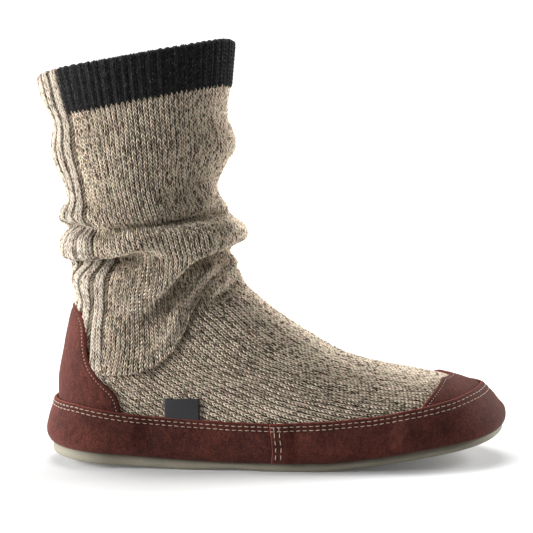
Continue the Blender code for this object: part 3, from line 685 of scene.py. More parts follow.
def broad_rib(wale, across, phase):
    """Back panel: every three wales make a broad rib, with a narrow deep furrow between ribs.
    Where the sock folds over itself the ribs are stretched flatter."""
    from_crown = np.abs(np.mod(wale / WALES_A_RIB, 1.0) - 0.5)
    kept = 1.0 - ROLL_FLAT * np.exp(-((phase - ROLL_COURSE) / ROLL_COURSES) ** 2)
    furrow = smooth_step(from_crown, *FURROW)
    crown = RIB_CROWN * np.cos(np.pi * from_crown)
    loops = RIB_LOOPS * (1.0 - loop_shape(across, phase)) * (1.0 - FURROW_FLAT * furrow)
    return RIB_PROUD - loops + (crown - RIB_DEPTH * furrow) * kept


CUFF_RIB_WALES = 1.55
CUFF_RIB_HEIGHT = 0.0008
CUFF_DRIFT = 0.7
CUFF_DRIFT_TURN = 0.9


def cuff_rib(wale, across, phase):
    """Cuff: soft narrow ribs of the same wave all round, under close loops."""
    drift = CUFF_DRIFT * np.sin(CUFF_DRIFT_TURN * wale)
    wave = 0.5 + 0.5 * np.sin(2.0 * np.pi * wale / CUFF_RIB_WALES + drift)
    return RIB_PROUD - RIB_LOOPS * (1.0 - loop_shape(across, phase)) - CUFF_RIB_HEIGHT * (1.0 - wave)


# The line between the ribbed back panel and the plain shaft: how far round it is at each row.
RIB_ROWS = (6.0, 7.6, 10.0, 12.6, 13.4, 14.3, 15.6, 16.6, 17.6, 20.0)
RIB_TURN = (0.79, 0.815, 0.910, 0.970, 1.020, 1.050, 0.890, 0.780, 0.765, 0.720)
RIBS = 8
RIB_COLUMNS = 18
RIB_STEPS = 190
RIB_SEARCH_ROW = 6.5
RIB_UNDER_COUNTER = 0.4
HALF_WALES = 41
MEET_DEPTH = 0.0022
MEET_WALES = 0.8
FAN_ROW = 13.9
FAN_CURVE = 1.7
SEAM_STEPS = 240
UPPER_STEPS = 96
LOWER_STEPS = 72
RIM_STEPS = 9
INSIDE_STEPS = 14
INSIDE_ROWS = 2.0
CURL = 0.0019
CURL_SHAPE = (0.0012, 0.0022, 0.0065)
CURL_FADE = 0.014
CURL_IN = 0.0020
CURL_IN_RUN = 0.0008
CUFF_THICK = 0.0009
CUFF_EDGE_COURSES = 1.4


def rib_turn(row):
    return through_rows(RIB_TURN, np.interp(row, RIB_ROWS, np.arange(len(RIB_ROWS))))


def evenly(rows, angles, steps):
    """The rows and angles of a line on the sock, read again in steps of equal length."""
    run = lengths_down(sock_surface(rows, angles)[:, None, :])[:, 0]
    wanted = np.linspace(0.0, run[-1], steps)
    return np.interp(wanted, run, rows), np.interp(wanted, run, angles)


def even_line(rows, angles, steps):
    """A smooth line on the sock through the given rows and angles, in steps of equal length."""
    fine = np.linspace(0.0, len(rows) - 1.0, 8 * steps)
    return evenly(through_rows(rows, fine), through_rows(angles, fine), steps)


def seen_line(edges, steps=None):
    """Rows and angles on the outer side of an outline drawn from the side."""
    rows, angles = side_place([edge.x for edge in edges], [edge.z for edge in edges])
    return (rows, angles) if steps is None else even_line(rows, angles, steps)


def mirror(angle, side):
    """The same place on the outer side for side 1 and on the inner side for side -1."""
    return angle if side > 0 else 2.0 * np.pi - angle


def collar_panel(rows, angles, wales):
    """The panel of a grid whose first row is the collar. Before that row come the way down
    inside and over the rim: the sock's inside, then half a circle of the wall's thickness.
    Lengths are 0 at the outside of the rim."""
    points, normals = on_sock(rows, angles)
    radius = 0.5 * KNIT_WALL
    up = unit(points[0] - points[1])
    turn = np.linspace(np.pi, 0.0, RIM_STEPS)[:-1, None, None]
    arc_normals = normals[0] * np.cos(turn) + up * np.sin(turn)
    arc = points[0] - normals[0] * radius + arc_normals * radius
    depth = np.linspace(TOP - INSIDE_ROWS, TOP, INSIDE_STEPS)[:-1, None]
    inside, inside_normals = on_sock(depth, angles[0], -KNIT_WALL)
    points = np.concatenate([inside, arc, points])
    normals = np.concatenate([-inside_normals, arc_normals, normals])
    lengths = lengths_down(points)
    lengths = lengths - lengths[len(inside) + len(arc)]
    return Panel(points, normals, lengths, wales, lengths[0], lengths[-1])


def shaft_panel():
    """The plain shaft from one rib edge round the front to the other. Above FAN_ROW its wales
    keep their share of the way round; below it they fan out, as a power of the way down, to
    ends spread evenly along the seam."""
    seam_rows, seam_angles = seen_line(SEAM, SEAM_STEPS)
    share = np.linspace(0.0, 1.0, HALF_WALES * STITCH_COLUMNS + 1)
    place = (1.0 - share) * (SEAM_STEPS - 1)
    end_row = np.interp(place, np.arange(SEAM_STEPS), seam_rows)
    end_angle = np.interp(place, np.arange(SEAM_STEPS), seam_angles)
    upper = np.linspace(TOP, FAN_ROW, UPPER_STEPS)[:, None] + np.zeros_like(share)
    down = np.linspace(0.0, 1.0, LOWER_STEPS)[1:, None]
    lower = FAN_ROW + (end_row - FAN_ROW) * down
    upper_turn = (np.pi - rib_turn(upper)) * share
    top_turn = (np.pi - rib_turn(FAN_ROW)) * share
    end_turn = end_angle - rib_turn(end_row)
    lower_turn = top_turn + (end_turn - top_turn) * down ** FAN_CURVE
    rows = np.concatenate([upper, lower])
    angles = rib_turn(rows) + np.concatenate([upper_turn, lower_turn])
    rows = np.concatenate([rows, rows[:, -2::-1]], axis=1)
    angles = np.concatenate([angles, 2.0 * np.pi - angles[:, -2::-1]], axis=1)
    return collar_panel(rows, angles, np.arange(rows.shape[1]) / STITCH_COLUMNS)


def cut(panel, columns):
    """The same panel with some of its columns."""
    return Panel(panel.points[:, columns], panel.normals[:, columns], panel.lengths[:, columns],
                 panel.wales[columns], panel.first[columns], panel.last[columns])


def curled_edge(length, first, last):
    """The shaft's lower edge stands up in a soft roll before it turns down into the seam. The
    roll fades out to the front, where the columns are shortest."""
    away = last - length
    full, top, end = CURL_SHAPE
    roll = CURL * smooth_step(away, 0.0, full) * (1.0 - smooth_step(away, top, end))
    roll = roll * smooth_step(last - last.min(), 0.0, CURL_FADE)
    return roll - CURL_IN * (1.0 - smooth_step(away, 0.0, CURL_IN_RUN))


def no_lift(length, first, last):
    return np.zeros_like(length)


def cuff_lift(length, first, last):
    """The cuff is thicker than the shaft: it comes up over its lowest course."""
    start, end = (CUFF_COURSES - CUFF_EDGE_COURSES) * COURSE, CUFF_COURSES * COURSE
    return CUFF_THICK * (1.0 - smooth_step(length, start, end))


def make_shaft(yarn, cuff_yarn):
    """The plain shaft as an outer and an inner half, and the cuff over both."""
    panel = shaft_panel()
    make_knit("cuff", panel, cuff_rib, cuff_lift, cuff_yarn, "cuff", start=INSIDE_COURSES, end=CUFF_COURSES)
    middle = HALF_WALES * STITCH_COLUMNS
    for name, columns in (("shaft_outer_knit", slice(0, middle + 1)),
                          ("shaft_inner_knit", slice(middle, None))):
        make_knit(name, cut(panel, columns), shaft_knit, curled_edge, yarn, start=CUFF_COURSES)


def make_back_ribs(yarn):
    """The ribbed panel up the back, from behind the counter's edge to inside the collar."""
    share = np.linspace(-1.0, 1.0, RIBS * RIB_COLUMNS + 1)
    end_row = halve(np.full_like(share, RIB_SEARCH_ROW), np.full_like(share, COUNTER_TIP_ROW),
                    lambda row: outside_counter(smooth_sock(row, rib_turn(row) * share)))
    end_row = end_row - RIB_UNDER_COUNTER
    down = np.linspace(0.0, 1.0, RIB_STEPS)[:, None]
    rows = TOP + (end_row - TOP) * down
    panel = collar_panel(rows, rib_turn(rows) * share, np.arange(len(share)) * WALES_A_RIB / RIB_COLUMNS)
    make_knit("back_rib_knit", panel, broad_rib, no_lift, yarn, start=INSIDE_COURSES)


HIDDEN_SHARE = 0.60
TUCK_UNDER = 0.0040
COUNTER_LOW_Z = 0.050
HEEL_LINE = (Edge(0.0560, 0.0270), Edge(0.0460, 0.0220))
HEEL_X = 0.0200
CAP_UNDER_ROW = 5.15
GIRTH_STEPS = 96
RUN_STEPS = 150
SIDE_STEPS = 40
SEAM_DIP = 0.0024
SEAM_DIP_RUN = 0.0036


def foot_boundaries():
    """The four sides of the grid that the foot's knit is laid on, as rows and angles, in even
    steps: a line behind from the seam's top straight to the heel, the cap's edge in front, the
    ridge above and the foxing below."""
    behind = [SEAM[0], *HEEL_LINE, Edge(hidden_line(HEEL_X, HIDDEN_SHARE), HEEL_X)]
    share = np.linspace(0.0, len(behind) - 1.0, GIRTH_STEPS)
    read = [np.interp(share, np.arange(len(behind)), [edge[i] for edge in behind]) for i in (0, 1)]
    rear = seen_line([Edge(z, x) for z, x in zip(*read)], GIRTH_STEPS)
    cap = [Edge(edge.z, edge.x + TUCK_UNDER) for edge in CAP_EDGE[-2::-1]]
    cap_x = cap[-1].x
    cap_rows, cap_angles = seen_line(cap + [Edge(hidden_line(cap_x, HIDDEN_SHARE), cap_x)])
    front = even_line(np.append(CAP_UNDER_ROW, cap_rows), np.append(np.pi, cap_angles), GIRTH_STEPS)
    top_rows = np.linspace(rear[0][0], CAP_UNDER_ROW, SIDE_STEPS)
    top = even_line(top_rows, np.full(SIDE_STEPS, np.pi), RUN_STEPS)
    low_x = np.linspace(HEEL_X, cap_x, SIDE_STEPS)
    low = even_line(*side_place(low_x, hidden_line(low_x, HIDDEN_SHARE)), RUN_STEPS)
    return rear, front, top, low


def seam_lengths(smooth, lengths):
    """Length along each wale at which it comes out from under the shaft and the counter,
    whose joint outline gives the foot's rearmost x at each height. smooth holds the wales'
    points on the sock without folds, which is where the outlines are drawn."""
    counter = [Edge(edge.z, edge.x - TUCK_UNDER) for edge in COUNTER_EDGE if edge.z < COUNTER_LOW_Z]
    heights, outline = zip(*counter, *SEAM[::-1])
    ahead = smooth[..., 0] - np.interp(smooth[..., 2], heights, outline)
    covered = ahead < 0.0
    low = np.where(covered.any(axis=0), len(ahead) - 1 - np.argmax(covered[::-1], axis=0), 0)
    low = np.minimum(low, len(ahead) - 2)
    column = np.arange(ahead.shape[1])
    a, b = ahead[low, column], ahead[low + 1, column]
    share = np.clip(-a / np.maximum(b - a, 1e-6), 0.0, 1.0)
    return lengths[low, column] + share * (lengths[low + 1, column] - lengths[low, column])


def foot_panel(side):
    """Half of the foot's knit. Between its four sides the rows and angles are a Coons patch:
    the two blends of opposite sides, less the blend of the corners. Each girth line is then
    measured down from the ridge, and wales lie FOOT_WALE apart on it. They start where they
    come out from under the shaft and the counter, and end where they reach the foxing."""
    rear, front, top, low = foot_boundaries()
    down = np.linspace(0.0, 1.0, GIRTH_STEPS)[:, None]
    along = np.linspace(0.0, 1.0, RUN_STEPS)[None, :]

    def patch(part):
        a, b = rear[part][:, None], front[part][:, None]
        c, d = top[part][None, :], low[part][None, :]
        corners = ((1.0 - down) * ((1.0 - along) * a[0] + along * b[0])
                   + down * ((1.0 - along) * a[-1] + along * b[-1]))
        return (1.0 - along) * a + along * b + (1.0 - down) * c + down * d - corners
    rows, angles = patch(0), mirror(patch(1), side)
    points, normals = on_sock(rows, angles)
    girth = lengths_down(points)
    count = int(np.ceil(girth[-1].max() / FOOT_WALE)) * STITCH_COLUMNS + 1
    wales = np.arange(count) / STITCH_COLUMNS
    places = places_at(girth, np.repeat(wales[:, None] * FOOT_WALE, RUN_STEPS, axis=1))
    smooth = read_rows(smooth_sock(rows, angles), places).swapaxes(0, 1)
    points = read_rows(points, places).swapaxes(0, 1)
    normals = unit(read_rows(normals, places).swapaxes(0, 1))
    lengths = lengths_down(points)
    room = np.minimum.accumulate(girth[-1])
    last_step = np.interp(-wales * FOOT_WALE, -room, np.arange(RUN_STEPS))
    last_step[wales * FOOT_WALE >= room[0]] = 0.0
    last = np.array([np.interp(step, np.arange(RUN_STEPS), lengths[:, i])
                     for i, step in enumerate(last_step)])
    first = np.minimum(seam_lengths(smooth, lengths), last)
    return Panel(points, normals, lengths, wales, first, last)


def seam_dip(length, first, last):
    """The foot's knit goes in under the shaft's curled edge."""
    return -SEAM_DIP * (1.0 - smooth_step(length - first, 0.0, SEAM_DIP_RUN))


def make_foot(yarn):
    for name, side in (("foot_outer_knit", 1), ("foot_inner_knit", -1)):
        make_knit(name, foot_panel(side), foot_knit, seam_dip, yarn, chevron=FOOT_CHEVRON)


LINING_ROWS = (TOP - 1.0, 0.2)
LINING_GRID = (130, 120)
LINING_INSET = 0.0004
LINING_RADIUS = 0.046


def make_lining(yarn):
    """The sock's inside, one wall in from its outside, from under the cuff down to the sole.
    Its wales are counted at an even distance from the middle of the leg."""
    steps, columns = LINING_GRID
    rows = np.linspace(*LINING_ROWS, steps)[:, None]
    angles = np.arange(columns)[None, :] * 2.0 * np.pi / columns
    points, normals = on_sock(rows, angles, -KNIT_WALL - LINING_INSET)
    faces = facing(points, grid_faces(steps, columns, wrap=True), -normals)
    wales = np.broadcast_to(angles * LINING_RADIUS / WALE, points.shape[:2])
    courses = np.broadcast_to(lengths_down(points)[:, :1] / COURSE, points.shape[:2])
    make_piece("knit_lining", points, faces, yarn, "knit", "upper",
               {"stitches": np.stack([wales, courses], axis=-1)})


# ---------------------------------------------------------------------------
# Suede. Every piece is a closed sheet: an outside, an inside and a rim between them.
SUEDE_ROUND = 0.0010
ROW_DROPS = (0.0021, 0.0043)
STITCH_GROOVE = 0.00035
GROOVE_WIDTH = 0.0006
EDGE_ROW = 0.0024
SEWN_WIDTH = 0.0009
RAW_WIDTH = 0.0004
HIDE_SWELL = 0.00025
OVERLAY_INSIDE = 0.0001
OVERLAY_INNER = 0.86
INNER_STEPS = 16
OVERLAY_EDGE_SHARES = (0.8, 0.62, 0.46, 0.33, 0.22, 0.13, 0.06, 0.02, 0.0)
OVERLAY_TIP = 0.06
OVERLAY_TIP_SHARES = (0.0, 0.03, 0.08, 0.16, 0.28, 0.45, 0.7, 1.0)
OVERLAY_ROWS = 46
OVERLAY_ROUNDS = 5
OVERLAY_LOW_SHARE = 0.55
OVERLAY_FIRST_ROWS = 4.0
SWELL_RISE = (0.002, 0.012)
SWELL_TURNS = (170.0, 140.0)
LINE_BLOCK = 40
EDGE_LOW_SHARE = 0.8
EDGE_STEPS = 400
EDGE_ROWS = 120
EDGE_CROWDS = 1.5


def round_rim(distance, radius=SUEDE_ROUND):
    """0 at a sheet's edge rising to 1 at radius from it, as a quarter circle."""
    u = np.clip(1.0 - distance / radius, 0.0, 1.0)
    return np.sqrt(1.0 - u * u)


def groove(distance, width=GROOVE_WIDTH):
    return np.exp(-(distance / width) ** 2)


def closed_sheet(outer, inner, outer_normals):
    """Points and faces of a sheet from two grids of the same size, joined round their rims."""
    rows, columns = outer.shape[:2]
    count = rows * columns
    face = facing(outer, grid_faces(rows, columns), outer_normals)
    index = np.arange(count).reshape(rows, columns)
    loop = np.concatenate([index[0, :-1], index[:-1, -1], index[-1, :0:-1], index[:0:-1, 0]])
    after = np.roll(loop, -1)
    rim = np.stack([loop, after, after + count, loop + count], axis=1)
    if (face[0] == np.array([index[0, 0], index[0, 1], index[1, 1], index[1, 0]])).all():
        rim = flipped(rim)
    faces = np.concatenate([face, flipped(face) + count, rim])
    return np.concatenate([outer.reshape(-1, 3), inner.reshape(-1, 3)]), faces


def nearest(points, line):
    """Distance from each point to the nearest point of a densely stepped line."""
    flat = points.reshape(-1, points.shape[-1])
    best = np.full(len(flat), np.inf)
    for start in range(0, len(line), LINE_BLOCK):
        away = np.linalg.norm(flat[:, None, :] - line[None, start:start + LINE_BLOCK], axis=-1)
        best = np.minimum(best, away.min(axis=1))
    return best.reshape(points.shape[:-1])


def outside_counter(points):
    return points[..., 0] > edge_at(COUNTER_EDGE, points[..., 2])


def behind_cap(points):
    return points[..., 0] < edge_at(CAP_EDGE, points[..., 2])


# A suede piece laid on the knit: the angle of its middle line, what lies past its edge and
# the row of its tip.
Overlay = namedtuple("Overlay", "name middle past_edge tip_row")
COUNTER = Overlay("heel_counter", 0.0, outside_counter, COUNTER_TIP_ROW)
CAP = Overlay("toe_cap", np.pi, behind_cap, CAP_TOP_ROW)


def half_width(rows, overlay):
    """How far round from the middle an overlay reaches at each row, found by halving."""
    return halve(np.zeros_like(rows), np.full_like(rows, 0.5 * np.pi),
                 lambda turn: overlay.past_edge(smooth_sock(rows, overlay.middle + turn)))


def overlay_grid(overlay, low_share, down, across):
    """Rows and angles of an overlay: down goes from 0 at its tip to 1 behind the foxing, and
    across from -1 to 1 between its edges."""
    rows = overlay.tip_row - OVERLAY_FIRST_ROWS * down + 0.0 * across
    for _ in range(OVERLAY_ROUNDS):
        angles = overlay.middle + half_width(rows, overlay) * across
        lowest = row_at_height(angles, lambda x: hidden_line(x, low_share))
        rows = overlay.tip_row + (lowest - overlay.tip_row) * down
    return rows, angles


def crowded(inner, edge):
    """Places from -1 to 1: evenly spaced between, then closer and closer at both ends."""
    right = np.concatenate([np.linspace(0.0, inner, INNER_STEPS)[1:],
                            1.0 - (1.0 - inner) * np.array(edge)])
    return np.concatenate([-right[::-1], [0.0], right])


def make_overlay(overlay, nap):
    """A suede sheet on the knit with a rounded raw edge and a shallow groove for its thread."""
    across = crowded(OVERLAY_INNER, OVERLAY_EDGE_SHARES)[None, :]
    down = np.concatenate([OVERLAY_TIP * np.array(OVERLAY_TIP_SHARES),
                           np.linspace(OVERLAY_TIP, 1.0, OVERLAY_ROWS)[1:]])[:, None]
    rows, angles = overlay_grid(overlay, OVERLAY_LOW_SHARE, down, across)
    base, normals = on_sock(rows, angles)
    away = nearest(base, overlay_edge(overlay, EDGE_STEPS)[0])
    swell = HIDE_SWELL * np.sin(SWELL_TURNS[0] * base[..., 0]) * np.sin(SWELL_TURNS[1] * base[..., 2] + 1.0)
    stand = OVERLAY_GAP + SUEDE * round_rim(away) + swell * smooth_step(away, *SWELL_RISE)
    stand = stand - STITCH_GROOVE * groove(away - EDGE_ROW)
    outer, inner = base + normals * stand[..., None], base + normals * OVERLAY_INSIDE
    points, faces = closed_sheet(outer, inner, normals)
    raw = np.exp(-(away / RAW_WIDTH) ** 2).ravel()
    sewn = groove(away - EDGE_ROW, SEWN_WIDTH).ravel()
    make_piece(f"{overlay.name}_suede", points, faces, nap, "suede", overlay.name,
               values={"raw_edge": np.tile(raw, 2), "sewn": np.tile(sewn, 2)})


def overlay_edge(overlay, steps):
    """The overlay's visible edge, from one side over its tip to the other, in even steps,
    with the sock's normals along it."""
    down = np.linspace(1.0, 0.0, EDGE_ROWS)[:, None] ** EDGE_CROWDS
    sides = np.array([[-1.0, 1.0]])
    grids = overlay_grid(overlay, EDGE_LOW_SHARE, down, sides)
    rows, angles = (np.concatenate([grid[:, 0], grid[-2::-1, 1]]) for grid in grids)
    return on_sock(*evenly(rows, angles, steps))


# How far the foxing's outside stands off the sock, from its foot to its top edge.
FOXING_SHARES = (0.00, 0.05, 0.16, 0.29, 0.42, 0.56, 0.69, 0.81, 0.92, 1.00)
HEEL_STANDS = (0.0046, 0.0060, 0.0066, 0.0060, 0.0052, 0.0047, 0.0043, 0.0038, 0.0033, 0.0026)
SIDE_STANDS = (0.0018, 0.0033, 0.0044, 0.0046, 0.0043, 0.0039, 0.0034, 0.0030, 0.0026, 0.0022)
TOE_STANDS = (0.0052, 0.0058, 0.0057, 0.0043, 0.0025, 0.0018, 0.0018, 0.0018, 0.0018, 0.0017)
STEP_SHARE = 0.42
INSIDE_STEP_SHARES = (0.40, 0.44)
WAVE_HEIGHT = 0.00034
WAVE_TURNS = (95.0, 57.0, 230.0)
WAVES_START = (0.05, 0.3)
WAVES_END = (0.7, 1.0)
FRONT_LAP = 0.0013
LAP_RUN = (0.0085, 0.0150)
LAP_ROWS = (0.0026, 0.0055)
END_FULLNESS = 0.3
BAND_STEP = 0.0012
BAND_END_STEPS = (0.0, 0.00012, 0.0003, 0.0005, 0.0008)
BAND_TOP = 0.965
BAND_UP = ((0.0, 0.08, 5), (0.12, BAND_TOP, 40))
BAND_TURN_STEPS = 9
BAND_DOWN = (0.9, 0.0, 6)
BAND_INSIDE = 0.0004
BAND_RAW = 0.0006
BAND_RAW_SHARES = (0.966, 0.992)
BAND_RAW_PART = 0.02
BAND_FINE_STEPS = 4000


def at_heel(x):
    return 1.0 - smooth_step(x, *HEEL_REACH_X)


def at_toe(x):
    return smooth_step(x, *TOE_REACH_X)


def foxing_base(x):
    return sole_top(x) + GAP


def foxing_height(x):
    return foxing_top(x) - foxing_base(x)


def under_room(x, share):
    """How much further out the foxing lies where it covers the counter or the cap."""
    under = np.maximum(1.0 - smooth_step(x, *COUNTER_UNDER_X), smooth_step(x, *CAP_UNDER_X))
    return OVERLAY_ROOM * under * share


def foxing_stand(x, share):
    """How far the foxing's outside stands off the sock: its profile, the room over what it
    covers, slow waves of the hide and the two grooves of its seam."""
    row = np.interp(share, FOXING_SHARES, np.arange(len(FOXING_SHARES)))
    heel, side, toe = (through_rows(stands, row) for stands in (HEEL_STANDS, SIDE_STANDS, TOE_STANDS))
    stand = side + (heel - side) * at_heel(x) + (toe - side) * at_toe(x)
    stand = stand + under_room(x, smooth_step(share, 0.0, STEP_SHARE))
    quick, slow, quickest = (turn * x for turn in WAVE_TURNS)
    waves = np.sin(quick + 4.0 * share) * np.sin(slow + 1.3) + 0.6 * np.sin(quickest - 5.0 * share)
    between = smooth_step(share, *WAVES_START) * (1.0 - smooth_step(share, *WAVES_END))
    stand = stand + WAVE_HEIGHT * waves * between
    drop = (1.0 - share) * foxing_height(x)
    return stand - STITCH_GROOVE * sum(groove(drop - line) for line in ROW_DROPS)


def at_share(angles, shares):
    """Rows and x of the points at the given shares of the foxing's height."""
    angles, shares = np.broadcast_arrays(angles, shares)
    rows = row_at_height(angles, lambda x: foxing_base(x) + shares * foxing_height(x))
    return rows, smooth_sock(rows, angles)[..., 0]


def band_ends():
    """Angles of the side seams on the second ring, half a gap to each side of SIDE_SEAM_X."""
    ring = RINGS[1]
    length = ring.front_x - ring.back_x
    middle = np.arccos(1.0 - 2.0 * (SIDE_SEAM_X - ring.back_x) / length)
    half_gap = 0.5 * GAP / (length * np.sin(middle))
    return middle - half_gap, middle + half_gap


def band_angles(start, end, step, edge=()):
    """Angles along the second ring at even distances, with extra ones near both ends, and
    how far each lies from the nearer end."""
    fine = np.linspace(start, end, BAND_FINE_STEPS)
    run = lengths_down(smooth_sock(np.ones(BAND_FINE_STEPS), fine)[:, None, :])[:, 0]
    edge = np.array(edge)
    even = np.linspace(0.0, run[-1], int(run[-1] / step))
    at = np.sort(np.concatenate([edge, even, run[-1] - edge]))
    return np.interp(at, run, fine), np.minimum(at, run[-1] - at)


def make_foxing(name, start, end, lap, nap):
    """A suede band carried round the sock. Each column is a closed section that goes up its
    outside, round the raw top edge and down its inside; a band that laps over the next stands
    out at its ends and is rounded there. The end sections shut to a line."""
    angles, from_end = band_angles(start, end, BAND_STEP, BAND_END_STEPS)
    rise = round_rim(from_end) if lap else np.ones_like(from_end)
    fullness = (END_FULLNESS + (1.0 - END_FULLNESS) * rise)[:, None]
    fullness[[0, -1]] = 0.0
    over = lap * (1.0 - smooth_step(from_end, *LAP_RUN))[:, None]
    up = np.concatenate([np.linspace(*steps) for steps in BAND_UP])
    turn = np.linspace(0.0, np.pi, BAND_TURN_STEPS)[1:]
    down = np.linspace(*BAND_DOWN)
    shares = np.concatenate([up, BAND_TOP + (1.0 - BAND_TOP) * np.sin(turn), down])[None, :]
    part = np.concatenate([np.ones(len(up)), 0.5 + 0.5 * np.cos(turn), np.zeros(len(down))])[None, :]
    rows, x = at_share(angles[:, None], shares)
    inside = BAND_INSIDE + under_room(x, smooth_step(shares, *INSIDE_STEP_SHARES))
    stand = inside + (foxing_stand(x, shares) + over - inside) * part * fullness
    points, _ = on_sock(rows, angles[:, None], stand)
    faces = grid_faces(*stand.shape, wrap=True)
    middle = points.mean(axis=1, keepdims=True)
    raw = smooth_step(shares, *BAND_RAW_SHARES) * (part > BAND_RAW_PART) + 0.0 * stand
    raw = np.maximum(raw, np.exp(-(from_end / BAND_RAW) ** 2)[:, None] * (lap > 0.0))
    drop = (1.0 - shares) * foxing_height(x)
    sewn = sum(groove(drop - line, SEWN_WIDTH) for line in ROW_DROPS) * part
    make_piece(f"{name}_suede", points, facing(points, faces, points - middle), nap, "suede", name,
               values={"raw_edge": raw, "sewn": sewn})


# ---------------------------------------------------------------------------
# Thread: every stitch is a small bead of cord that dives into the suede at both ends.
Stitch = namedtuple("Stitch", "radius length pitch")
BEAD_PLACES = (-1.0, -0.93, -0.7, -0.3, 0.3, 0.7, 0.93, 1.0)
BEAD_SIDES = 7
BEAD_PROUD = 0.5
BEAD_BEND = 1.6
LEAN = 0.09
LEAN_TURN = 3.7
LONG_STITCH = Stitch(0.00023, 0.0032, 0.0037)
SHORT_STITCH = Stitch(0.00021, 0.0014, 0.0021)
THREAD_STEP = 0.0015
THREAD_FIRST_ROW = 3.0
THREAD_ROUNDS = 3
LAP_SHARES = (0.10, 0.975)
LAP_STEPS = 60
OVERLAY_THREAD_STEPS = 260
CENTRE_BELOW_TIP = 2.0
EVEN_OUT = 6


def bead(stitch):
    """A stitch in its own directions, along, across and out: a tube with round ends whose
    ends bend down, radius as the square root of one less its place along to the fourth."""
    place = np.array(BEAD_PLACES)[:, None]
    turn = np.arange(BEAD_SIDES)[None, :] * 2.0 * np.pi / BEAD_SIDES
    radius = stitch.radius * np.sqrt(1.0 - place ** 4)
    along = 0.5 * stitch.length * place + 0.0 * turn
    out = radius * np.sin(turn) + stitch.radius * (BEAD_PROUD - BEAD_BEND * place ** 2)
    return np.stack([along, radius * np.cos(turn), out], axis=-1)


def lay_thread(lines, stitch):
    """All stitches of some lines of thread, as one mesh. A line is its points and normals."""
    shape = bead(stitch)
    size = shape.shape[0] * shape.shape[1]
    parts = []
    ring = grid_faces(*shape.shape[:2], wrap=True)
    for points, normals in lines:
        run = lengths_down(points[:, None, :])[:, 0]
        number = max(int(run[-1] / stitch.pitch), 1)
        at = (np.arange(number) + 0.5) * run[-1] / number
        centre, out, ahead = (
            np.stack([np.interp(at, run, values[:, i]) for i in range(3)], axis=-1)
            for values in (points, normals, np.gradient(points, axis=0)))
        out, ahead = unit(out), unit(ahead)
        side = unit(np.cross(out, ahead))
        lean = np.sin(LEAN_TURN * np.arange(number))[:, None] * LEAN
        ahead, side = unit(ahead + lean * side), unit(side - lean * ahead)
        frames = np.stack([ahead, side, out], axis=1)
        placed = centre[:, None, None, :] + np.einsum("abk,nkc->nabc", shape, frames)
        parts.append((placed, (ring[None] + np.arange(number)[:, None, None] * size).reshape(-1, 4)))
    return joined(parts)


def foxing_line(start, end, drop, lap_side=0.0):
    """A line of thread along a foxing, at a drop below its top edge."""
    angles, from_end = band_angles(start, end, THREAD_STEP)
    x = smooth_sock(np.full_like(angles, THREAD_FIRST_ROW), angles)[..., 0]
    for _ in range(THREAD_ROUNDS):
        shares = 1.0 - drop / foxing_height(x)
        rows, x = at_share(angles, shares)
    lap = lap_side * (1.0 - smooth_step(from_end, *LAP_RUN))
    return on_sock(rows, angles, foxing_stand(x, shares) + lap)


def lap_line(angle, away, side):
    """A line of thread up the front band, at a distance from its end."""
    ring = RINGS[1]
    turn = away / (0.5 * (ring.front_x - ring.back_x) * np.sin(angle))
    shares = np.linspace(*LAP_SHARES, LAP_STEPS)
    angles = np.full(LAP_STEPS, mirror(angle + turn, side))
    rows, x = at_share(angles, shares)
    lap = FRONT_LAP * (1.0 - smooth_step(away, *LAP_RUN))
    return on_sock(rows, angles, foxing_stand(x, shares) + lap)


def overlay_line(overlay):
    """A line of thread inside an overlay's edge, from the foxing over its tip and back, evened
    out by the mean of each point and EVEN_OUT points on either side."""
    edge, normals = overlay_edge(overlay, OVERLAY_THREAD_STEPS)
    ahead = unit(np.gradient(edge, axis=0))
    inwards = unit(np.cross(normals, ahead))
    centre = sock_surface(overlay.tip_row - CENTRE_BELOW_TIP, overlay.middle)
    toward = np.sign(((centre - edge) * inwards).sum(axis=-1).mean())
    points = edge + toward * inwards * EDGE_ROW
    stand = OVERLAY_GAP + SUEDE - STITCH_GROOVE
    window = np.ones(2 * EVEN_OUT + 1) / (2 * EVEN_OUT + 1)
    padded = np.pad(points, ((EVEN_OUT, EVEN_OUT), (0, 0)), mode="edge")
    evened = np.stack([np.convolve(part, window, "valid") for part in padded.T], axis=-1)
    return evened + normals * stand, normals


def make_thread(cord):
    rear_end, front_end = band_ends()
    lines = []
    for drop in ROW_DROPS:
        lines.append(foxing_line(-rear_end, rear_end, drop))
        lines.append(foxing_line(front_end, 2.0 * np.pi - front_end, drop, FRONT_LAP))
    for side in (1, -1):
        lines += [lap_line(front_end, away, side) for away in LAP_ROWS]
    make_piece("foxing_thread", *lay_thread(lines, LONG_STITCH), cord, "thread")
    lines = [overlay_line(overlay) for overlay in (COUNTER, CAP)]
    make_piece("overlay_thread", *lay_thread(lines, SHORT_STITCH), cord, "thread")


# ---------------------------------------------------------------------------
# Sole, footbed and tab.
FAR_INSIDE = -0.003
SOLE_OUTSET = 0.0004
SOLE_EDGE_ROUND = 0.0016
WALL_PROFILE = ((0.2, 0.0001), (0.4, -0.0001), (0.6, -0.0005), (0.75, -0.0008), (0.9, -0.0010),
                (1.0, -0.0012))
WELT_SHADE = (0.40, 1.0)
SOLE_COLUMNS = 360
SOLE_EDGE_STEPS = 7
SOLE_TOP_ACROSS = 12
TREAD_ACROSS = 48
TREAD_DEPTH = 0.0007
TREAD_PITCH = 0.0072
TREAD_WAVE = 0.0022
TREAD_WAVE_LENGTH = 0.019
TREAD_WALL = (0.34, 0.42)
TREAD_FADE = (0.003, 0.0045)
INSOLE_COLUMNS = 200
INSOLE_ACROSS = (10, 40)
INSOLE_RINGS = ((0.0, 0.0), (0.0030, 0.0), (0.0037, 0.0002), (0.0041, 0.0006), (0.0042, 0.0012))
